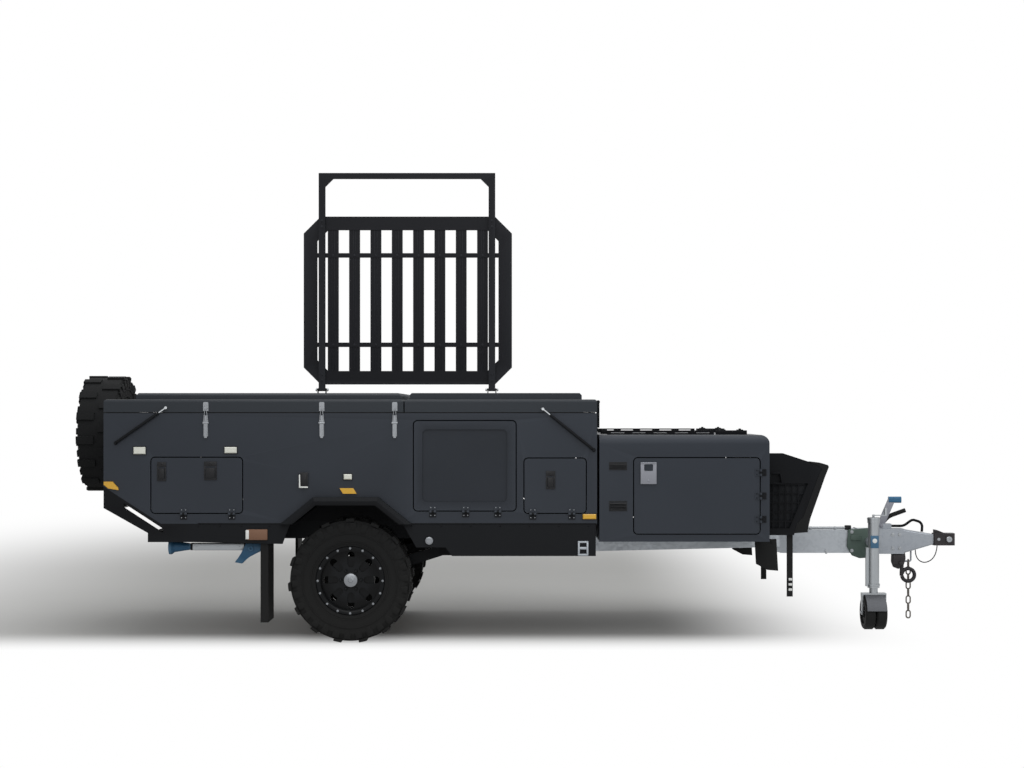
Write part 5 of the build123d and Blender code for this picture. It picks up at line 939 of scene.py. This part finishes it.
@dataclass
class Skirts:
    """What sits on and under the black skirts: connector, cap, bracket, screws, box flaps and leg ends."""

    screw_z: float = 757.0
    rear_screws_x: tuple[float, ...] = (-980.0, -840.0, -700.0, -520.0)
    front_screws_x: tuple[float, ...] = tuple(400.0 + 190.0 * index for index in range(7))
    filler_place: Point = (512.0, NEAR_FACE, 662.0)
    step_span: Span = (1472.0, 1540.0, 566.0, 660.0)
    flap_y: tuple[float, float] = (-612.0, -605.0)
    flap_outline: tuple[Flat, ...] = ((2655, 652), (2800, 652), (2812, 440), (2740, 446), (2664, 486))

    def build(self, coats: Coats) -> None:
        """Make the pieces."""
        cover = Draft()
        cover.bars([(-664, -532, 667, 736)], NEAR_FACE - 16, NEAR_FACE + 1, 5.0)
        cover.done("side_connector", coats["brown_cover"], "hinge_black")
        mark = Draft()
        mark.bars([(-672, -650, 672, 732)], NEAR_FACE - 19, NEAR_FACE + 1, 4.0)
        mark.done("side_connector_end", coats["off_white"], "white_lens")
        filler = Draft()
        filler.lathe([(27, -1), (27, 6), (24, 11), (17, 13), (16, 9), (0, 9)], self.filler_place, OUT, 32)
        filler.done("filler_cap", coats["stainless"], "latch_steel")
        bracket = Draft()
        bracket.near_frame(self.step_span, 12, 9)
        bracket.bars([(1480, 1534, 606, 622)], NEAR_FACE - 6, NEAR_FACE + 1, 2.0)
        bracket.done("step_bracket", coats["galvanised"], "zinc")
        screws = Draft()
        for x in self.front_screws_x + self.rear_screws_x:
            screws.screw((x, NEAR_FACE, self.screw_z), 6.0)
        screws.mirrored().done("skirt_screws", coats["black_steel"], "black_steel")
        trim = Draft()
        trim.bars([(-985, -395, 768, 776), (348, 1590, 768, 776)], NEAR_FACE - 3, NEAR_FACE + 1, 1.5)
        trim.mirrored().done("skirt_top_edge", coats["black_steel"], "black_steel")
        self.leg_ends(coats)
        flap = Draft()
        outer, inner = self.flap_y
        flap.prism(list(self.flap_outline), Across.Y, outer, inner, 2.0)
        for x in (2690, 2770):
            flap.bolt((x, outer, 630), OUT, 7.0, 5.0)
        flap.mirrored().done("box_flap", coats["rubber"], "rubber")

    def leg_ends(self, coats: Coats) -> None:
        """Add the blue drive socket at each leg's pivot and the bright strip on the leg's outer face."""
        socket = Draft()
        outline = [(-757, 516), (-712, 574), (-686, 638), (-587, 638), (-587, 588), (-664, 552), (-708, 508)]
        socket.prism(outline, Across.Y, -834, -817, 3.0)
        socket.lathe([(17, 0), (17, 8), (13, 11), (8, 11), (8, 3), (0, 3)], (-650, -834, 606), OUT, 24)
        socket.mirrored().done("leg_sockets", coats["blue_steel"], "blue_steel")
        for side, mark in SIDES:
            strip = Draft()
            strip.block((-1035, -806, 594), (-700, -802, 636), 1.2)
            for x in (-1010, -870, -730):
                strip.screw((x, -806, 615), 4.0)
            strip.sided(mark).done("leg_strip_" + side, coats["zinc"], "zinc", "leg_" + side)


@dataclass
class NoseGear:
    """The dressing of the drawbar, the coupling, its brake lever and the jockey wheel."""

    nose_top: float = 672.0
    nose_front: float = 3735.0
    plate_face: float = 58.0
    jockey_x: float = 3532.0
    jockey_y: float = -196.0
    tube_radius: float = 38.0
    roller_z: float = 115.0
    cable_radius: float = 3.5
    cable_length: float = 284.6
    cable_route: tuple = (
        (3860.0, -25.0, 532.8),
        (3860.0, -25.0, 475.0),
        (3926.0, -25.0, 433.0),
        (4006.0, -25.0, 485.0),
        (4012.0, -25.0, 562.7),
    )

    def build(self, coats: Coats) -> None:
        """Make the pieces."""
        self.conduit(coats)
        self.coupling_bolts(coats)
        self.clamp(coats)
        self.brake(coats)
        self.shackle(coats)
        self.cable(coats)
        self.jockey(coats)

    def conduit(self, coats: Coats) -> None:
        """Add the thin wiring conduit on the nose beam and its clips."""
        z = self.nose_top + 14
        pipe = Draft()
        pipe.tube([(x, -24, z) for x in (2900, 3050, 3200, 3376)], 8.5, 16)
        pipe.done("wiring_conduit", coats["zinc"], "zinc")
        box = Draft()
        box.block((3368, -42, z - 13), (3410, -8, z + 17), 4.0)
        box.done("conduit_box", coats["nylon"], "hinge_black")
        clips = Draft()
        for x in (2960, 3130, 3300):
            clips.block((x - 7, -38, self.nose_top - 0.5), (x + 7, -10, self.nose_top + 7), 1.0)
            clips.lathe([(8.7, -7), (10.2, -7), (10.2, 7), (8.7, 7)], (x, -24, z), (1, 0, 0), 18)
        clips.block((3226, -56, 506), (3240, -49, 536), 1.5)
        clips.done("conduit_clips", coats["zinc"], "zinc")

    def clamp(self, coats: Coats) -> None:
        """Add the grey-green cast clamp of the jockey wheel and its four bolts."""
        cast = Draft()
        outline = [(3384, 676), (3560, 690), (3560, 498), (3520, 480), (3462, 476), (3408, 496), (3374, 560)]
        cast.prism(outline, Across.Y, -70, -56, 5.0)
        cast.prism([(3400, 600), (3470, 600), (3470, 640), (3400, 640)], Across.Y, -82, -68, 4.0)
        cast.done("jockey_clamp_cast", coats["cast_paint"], "coupling_cast")
        bolts = Draft()
        for x, z in ((3408, 530), (3408, 660), (3544, 520), (3544, 668)):
            bolts.bolt((x, -70, z), OUT, 9.0, 8.0)
        bolts.done("jockey_clamp_bolts", coats["zinc"], "zinc")

    def brake(self, coats: Coats) -> None:
        """Add the pressed sides of the brake arm and the rubber sleeve on its release lever."""
        x, top = self.nose_front - 116, self.nose_top + 8
        arm = Draft()
        outline = [(x - 18, top + 30), (x + 26, top + 18), (x + 100, top + 188), (x + 56, top + 204)]
        for low, high in ((-15, -9.5), (5.5, 11)):
            arm.prism(outline, Across.Y, low, high, 1.5)
        arm.bolt((x + 2, -30, top + 20), OUT, 10.0, 8.0)
        arm.done("brake_arm_sides", coats["satin_grey"], "zinc")
        sleeve = Draft()
        line = [(24, 43.8), (44.9, 67.2), (61.6, 81.7), (81.2, 91.7), (140, 113), (178, 126.8)]
        sleeve.tube([(x + a, 7, top + b) for a, b in line], 15.0, 16)
        sleeve.done("brake_release_sleeve", coats["rubber"], "rubber")

    def shackle(self, coats: Coats) -> None:
        """Add the dark swivel block under the coupling and the bow shackle in front of the chain."""
        dark = Draft()
        outline = [(3692, 512), (3788, 512), (3792, 470), (3776, 418), (3742, 398), (3704, 412), (3690, 450)]
        dark.prism(outline, Across.Y, -34, -15, 5.0)
        ring = arc((3808.0, -32.0, 358.0), 44.0, -170, 170, Across.Y, 26)
        dark.tube(ring, 13.0, 12)
        dark.block((3700, -52, 430), (3776, -30, 500), 6.0)
        dark.lathe([(13, 0), (13, 46), (9, 49), (0, 49)], (3750, -26, 440), OUT, 8)
        dark.tube([(3762, -30, 352), (3762, -30, 376), (3764, -28, 400), (3766, -26, 424)], 13.0, 12)
        dark.done("recovery_shackle", coats["forged_black"], "coupling_head_black")

    def coupling_bolts(self, coats: Coats) -> None:
        """Add the coupling body's bolts, and the round cap and the bolt of its head."""
        bolts = Draft()
        for side in (-1, 1):
            for x in (self.nose_front - 40, self.nose_front + 8):
                for z in (545.0, 640.0):
                    bolts.bolt((x, side * self.plate_face, z), (0, side, 0), 10.0, 8.0)
        for x in (self.nose_front - 290, self.nose_front - 170):
            for y in (-30, 30):
                bolts.bolt((x, y, 680.0), UP, 8.0, 6.0)
        bolts.done("coupling_bolts", coats["zinc"], "zinc")
        head = Draft()
        head.lathe([(20, 0), (20, 5), (17, 8), (6, 8), (6, 3), (0, 3)], (4091, -46, 606), OUT, 24)
        head.bolt((4020, -42, 606), OUT, 8.0, 6.0)
        head.done("head_bolts", coats["zinc"], "zinc")

    def cable(self, coats: Coats) -> None:
        """Draw the breakaway cable that hangs from the coupling body and goes back into the head."""
        data = bpy.data.curves.new("breakaway_cable_line", "CURVE")
        data.dimensions = "3D"
        data.bevel_depth = self.cable_radius * MM
        data.bevel_resolution = 4
        data.resolution_u = 12
        spline = data.splines.new("NURBS")
        spline.points.add(len(self.cable_route) - 1)
        for point, spot in zip(spline.points, self.cable_route):
            point.co = (*to_frame(spot), 1.0)
        spline.order_u = 3
        spline.use_endpoint_u = True
        data.materials.append(coats["rubber"])
        piece = bpy.data.objects.new("breakaway_cable_line", data)
        bpy.context.scene.collection.objects.link(piece)
        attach(piece, "trailer")
        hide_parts("breakaway_cable")
        LOG.info("The breakaway cable hangs in one loop of %.0f mm", self.cable_length)

    def jockey(self, coats: Coats) -> None:
        """Add the blank plate and the rings on the tube, the cover over the wheels and their hubs."""
        x, y = self.jockey_x, self.jockey_y
        plate = Draft()
        outline = [(-27, -43), (27, -43), (27, -27), (18, -33.5), (0, -37.6), (-18, -33.5), (-27, -27)]
        plate.prism([(x + a, y + b) for a, b in outline], Across.Z, 560, 645, 0.8)
        plate.done("jockey_plate", coats["blue_steel"], "blue_steel", "jockey_outer")
        mark = Draft()
        mark.lathe([(16, 0), (16, 1.5), (14, 2), (0, 2)], (x, y - self.tube_radius - 5, 610), OUT, 28)
        mark.done("jockey_plate_mark", coats["off_white"], "white_lens", "jockey_outer")
        tube = Draft()
        inner, outer = self.tube_radius + 2, self.tube_radius + 5.5
        for z in (306.0, 760.0):
            tube.lathe([(inner, -8), (outer, -6), (outer, 6), (inner, 8)], (x, y, z), UP, 36)
        tube.done("jockey_tube_rings", coats["zinc"], "zinc", "jockey_outer")
        cover = Draft()
        angles = [math.radians(10 + 160 * step / 20) for step in range(21)]
        axle_z = self.roller_z
        outer_ring = [(y + 128 * math.cos(a), axle_z + 128 * math.sin(a)) for a in angles]
        inner_ring = [(y + 123 * math.cos(a), axle_z + 123 * math.sin(a)) for a in reversed(angles)]
        cover.prism(outer_ring + inner_ring, Across.X, x - 66, x + 66, 0.0)
        cover.done("jockey_wheel_cover", coats["dull_steel"], "zinc", "jockey_yoke")
        wheel = Draft()
        for side in (-1, 1):
            profile = [(34, -6), (34, 0), (30, 3), (12, 3)]
            wheel.lathe(profile, (x + side * 74 - side * 3, y, axle_z), (side, 0, 0), 28)
        wheel.done("jockey_wheel_hubs", coats["zinc"], "zinc", "jockey_roller")


@dataclass
class Guard:
    """The stone guard's side bracket, screws, gauze and rubber edge, and the marks on its flaps."""

    half_width: float = 620.0
    rear: float = 2712.0
    screws_z: tuple[float, ...] = (700.0, 800.0, 940.0, 1140.0, 1190.0)

    def build(self, coats: Coats) -> None:
        """Make the pieces."""
        bracket = Draft()
        y = -self.half_width
        bracket.bars([(2738, 2842, 1012, 1030), (2752, 2828, 1078, 1096)], y - 5, y + 1, 2.0)
        bracket.bars([(2752, 2828, 1084, 1090), (2744, 2836, 1018, 1024)], y - 24, y - 3, 2.0)
        bracket.prism([(2752, 1090), (2762, 1090), (2750, 1018), (2740, 1018)], Across.Y, y - 24, y - 3, 1.5)
        bracket.prism([(2818, 1090), (2828, 1090), (2840, 1018), (2830, 1018)], Across.Y, y - 24, y - 3, 1.5)
        bracket.done("guard_bracket", coats["black_steel"], "black_steel")
        screws = Draft()
        for z in self.screws_z:
            screws.screw((self.rear + 18, y, z), 5.5)
        screws.mirrored().done("guard_screws", coats["black_steel"], "black_steel")
        self.gauze(coats)
        self.edge(coats)

    def gauze(self, coats: Coats) -> None:
        """Add the fine gauze behind the bars, on both sides and in front."""
        sides = Draft()
        sides.prism([(2746, 712), (2892, 712), (3018, 1030), (2746, 1030)], Across.Y, -599, -596, 0.5)
        sides.mirrored().done("guard_side_gauze", coats["gauze"], "mesh_wire")
        front = Draft()
        front.prism([(2972, 815), (2976, 815), (3057, 1038), (3053, 1038)], Across.Y, -572, 572, 0.5)
        front.done("guard_front_gauze", coats["gauze"], "mesh_wire")

    def edge(self, coats: Coats) -> None:
        """Add the moulded rubber edge along both front corners, and the flaps' pale end marks."""
        rubber = Draft()
        outline = [(3020, 1166), (3086, 1158), (3140, 1142), (3147, 1130)]
        outline += [(3120, 1062), (3024, 790), (3009, 736), (3006, 696)]
        outline += [(2912, 690), (2936, 756), (2981, 802), (3080, 1080)]
        outline += [(3104, 1114), (3080, 1140), (3020, 1156)]
        rubber.prism(outline, Across.Y, -623, -572, 2.0)
        rubber.mirrored().done("guard_rubber_edge", coats["rubber"], "rubber")
        marks = Draft()
        marks.bars([(2884, 2908, low, low + 16) for low in (306, 340, 374)], -593, -589, 1.0)
        marks.mirrored().done("flap_marks", coats["off_white"], "white_lens")


class Studio:
    """The pale floor, the white surround, the soft lights and the camera of the photograph."""

    camera_place: Point = (1046.5, -11905.0, 1500.0)
    focal_px: float = 1703.0
    image_width: int = 1024
    horizon_drop_px: float = 27.0
    floor_half: float = 60.0
    surround_light: float = 0.5
    # Axis, where the floor's grey, a painted shade under, behind and left of the trailer, starts to fade, and
    # where it is white
    painted_shade_fades: tuple = ((0, 0.9, 2.7), (0, -2.6, -7.5), (1, -0.35, -1.3), (1, 4.0, 14.0))
    # Name, place in metres, side of the square and power in watts
    lamps: tuple = (
        ("top", (0.0, -1.5, 7.0), 7.0, 300.0),
        ("front", (-1.0, -8.0, 4.5), 5.0, 170.0),
        ("side", (6.5, -4.5, 4.0), 4.0, 110.0),
    )

    def build(self) -> None:
        """Make the stage."""
        self.floor()
        self.lights()
        self.camera()
        bpy.context.scene.view_settings.view_transform = "Standard"

    def floor(self) -> None:
        """Add the pale floor, whose grey painted shade near the trailer fades into the white surround away
        from it.
        """
        draft = bmesh.new()
        half = self.floor_half
        corners = ((-half, -half), (half, -half), (half, half), (-half, half))
        draft.faces.new([draft.verts.new((x, y, 0.0)) for x, y in corners])
        data = bpy.data.meshes.new("floor")
        draft.to_mesh(data)
        draft.free()
        floor = bpy.data.objects.new("floor", data)
        bpy.context.scene.collection.objects.link(floor)
        data.materials.append(self.floor_coat())

    def floor_coat(self) -> bpy.types.Material:
        """Make the floor's grey, a painted shade near the trailer on which the trailer's own shadow also
        falls, and the white that it fades into.
        """
        material = bpy.data.materials.new("studio_floor")
        material.use_nodes = True
        tree = material.node_tree
        tree.nodes.clear()
        where = add_node(tree, "ShaderNodeTexCoord", {}).outputs["Object"]
        noise = add_node(tree, "ShaderNodeTexNoise", {"Scale": 0.6, "Detail": 4.0, "Vector": where})
        # Painted shade: the floor's grey stands in for the soft shade under, behind and left of the trailer
        grey = blend(tree, noise.outputs[0], linear("a9a9a7"), linear("b0b0ae"))
        shader = add_node(tree, "ShaderNodeBsdfPrincipled", {"Roughness": 0.8, "Base Color": grey})
        white = add_node(tree, "ShaderNodeEmission", {"Color": (1.0, 1.0, 1.0, 1.0), "Strength": 1.0})
        split = add_node(tree, "ShaderNodeSeparateXYZ", {"Vector": where})
        # Where the painted shade fades out into the white surround
        ramps = [self.ramp(tree, split.outputs[axis], start, end) for axis, start, end in self.painted_shade_fades]
        painted_shade_mask, *others = ramps
        for ramp in others:
            painted_shade_mask = combine(tree, "MULTIPLY", painted_shade_mask, ramp)
        unseen = combine(tree, "SUBTRACT", 1.0, self.seen(tree))
        share = combine(tree, "MAXIMUM", painted_shade_mask, unseen)
        values = {0: share, 1: white.outputs[0], 2: shader.outputs[0]}
        surface = add_node(tree, "ShaderNodeMixShader", values)
        add_node(tree, "ShaderNodeOutputMaterial", {"Surface": surface.outputs[0]})
        return material

    @staticmethod
    def ramp(tree: Tree, value: Socket, start: float, end: float) -> Socket:
        """Return 1 up to the start and 0 from the end on, with a smooth fall between them."""
        values = {"interpolation_type": "SMOOTHSTEP", 1: start, 2: end, 3: 1.0, 4: 0.0, 0: value}
        return add_node(tree, "ShaderNodeMapRange", values).outputs[0]

    @staticmethod
    def seen(tree: Tree) -> Socket:
        """Return 1 for the rays by which the camera, gloss and glass see, and 0 for the light's own."""
        path = add_node(tree, "ShaderNodeLightPath", {})
        first = combine(tree, "MAXIMUM", path.outputs["Is Camera Ray"], path.outputs["Is Glossy Ray"])
        return combine(tree, "MAXIMUM", first, path.outputs["Is Transmission Ray"])

    def lights(self) -> None:
        """Light the object softly from above and in front, with a white surround."""
        world = bpy.data.worlds.new("studio")
        bpy.context.scene.world = world
        world.use_nodes = True
        tree = world.node_tree
        tree.nodes.clear()
        strength = add_node(tree, "ShaderNodeMapRange", {3: self.surround_light, 4: 1.0, 0: self.seen(tree)})
        values = {"Color": (1.0, 1.0, 1.0, 1.0), "Strength": strength.outputs[0]}
        sky = add_node(tree, "ShaderNodeBackground", values)
        add_node(tree, "ShaderNodeOutputWorld", {"Surface": sky.outputs[0]})
        middle = Vector((0.0, 0.0, 1.0))
        for name, spot, size, power in self.lamps:
            data = bpy.data.lights.new(name, "AREA")
            data.energy = power
            data.size = size
            light = bpy.data.objects.new(name, data)
            bpy.context.scene.collection.objects.link(light)
            light.location = spot
            light.rotation_euler = (middle - Vector(spot)).to_track_quat("-Z", "Y").to_euler()

    def camera(self) -> None:
        """Place the camera level at the photograph's height, looking square at the near side."""
        data = bpy.data.cameras.new("camera")
        data.lens = self.focal_px / self.image_width * data.sensor_width
        data.shift_y = self.horizon_drop_px / self.image_width
        data.clip_end = 200.0
        camera = bpy.data.objects.new("camera", data)
        bpy.context.scene.collection.objects.link(camera)
        camera.location = to_frame(self.camera_place)
        camera.rotation_euler = (math.radians(90), 0.0, 0.0)
        bpy.context.scene.camera = camera


def main() -> None:
    """Load the frame, build every sub-assembly and log the pieces' bodies and slots, and the cable's length.
    """
    logging.basicConfig(level=logging.INFO, format="%(name)s: %(message)s")
    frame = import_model()
    coats = {finish.name: finish.build() for finish in FINISHES}
    dress_cad(frame, coats)
    near = Matrix.Translation((0.0, -WHEEL_Y, AXLE_Z))
    far = Matrix.Translation((0.0, WHEEL_Y, AXLE_Z)) @ Matrix.Rotation(math.pi, 4, "Z")
    spare = Matrix.Translation(SPARE_PLACE) @ Matrix.Rotation(-math.pi / 2, 4, "Z")
    for name, placing in (("wheel_near", near), ("wheel_far", far), ("spare", spare)):
        Wheel(name, placing).build(coats)
    for assembly in (Lids(), Doors(), FrontBox(), Lamps(), Rack(), Skirts(), NoseGear(), Guard()):
        assembly.build(coats)
    Studio().build()


if __name__ == "__main__":
    main()
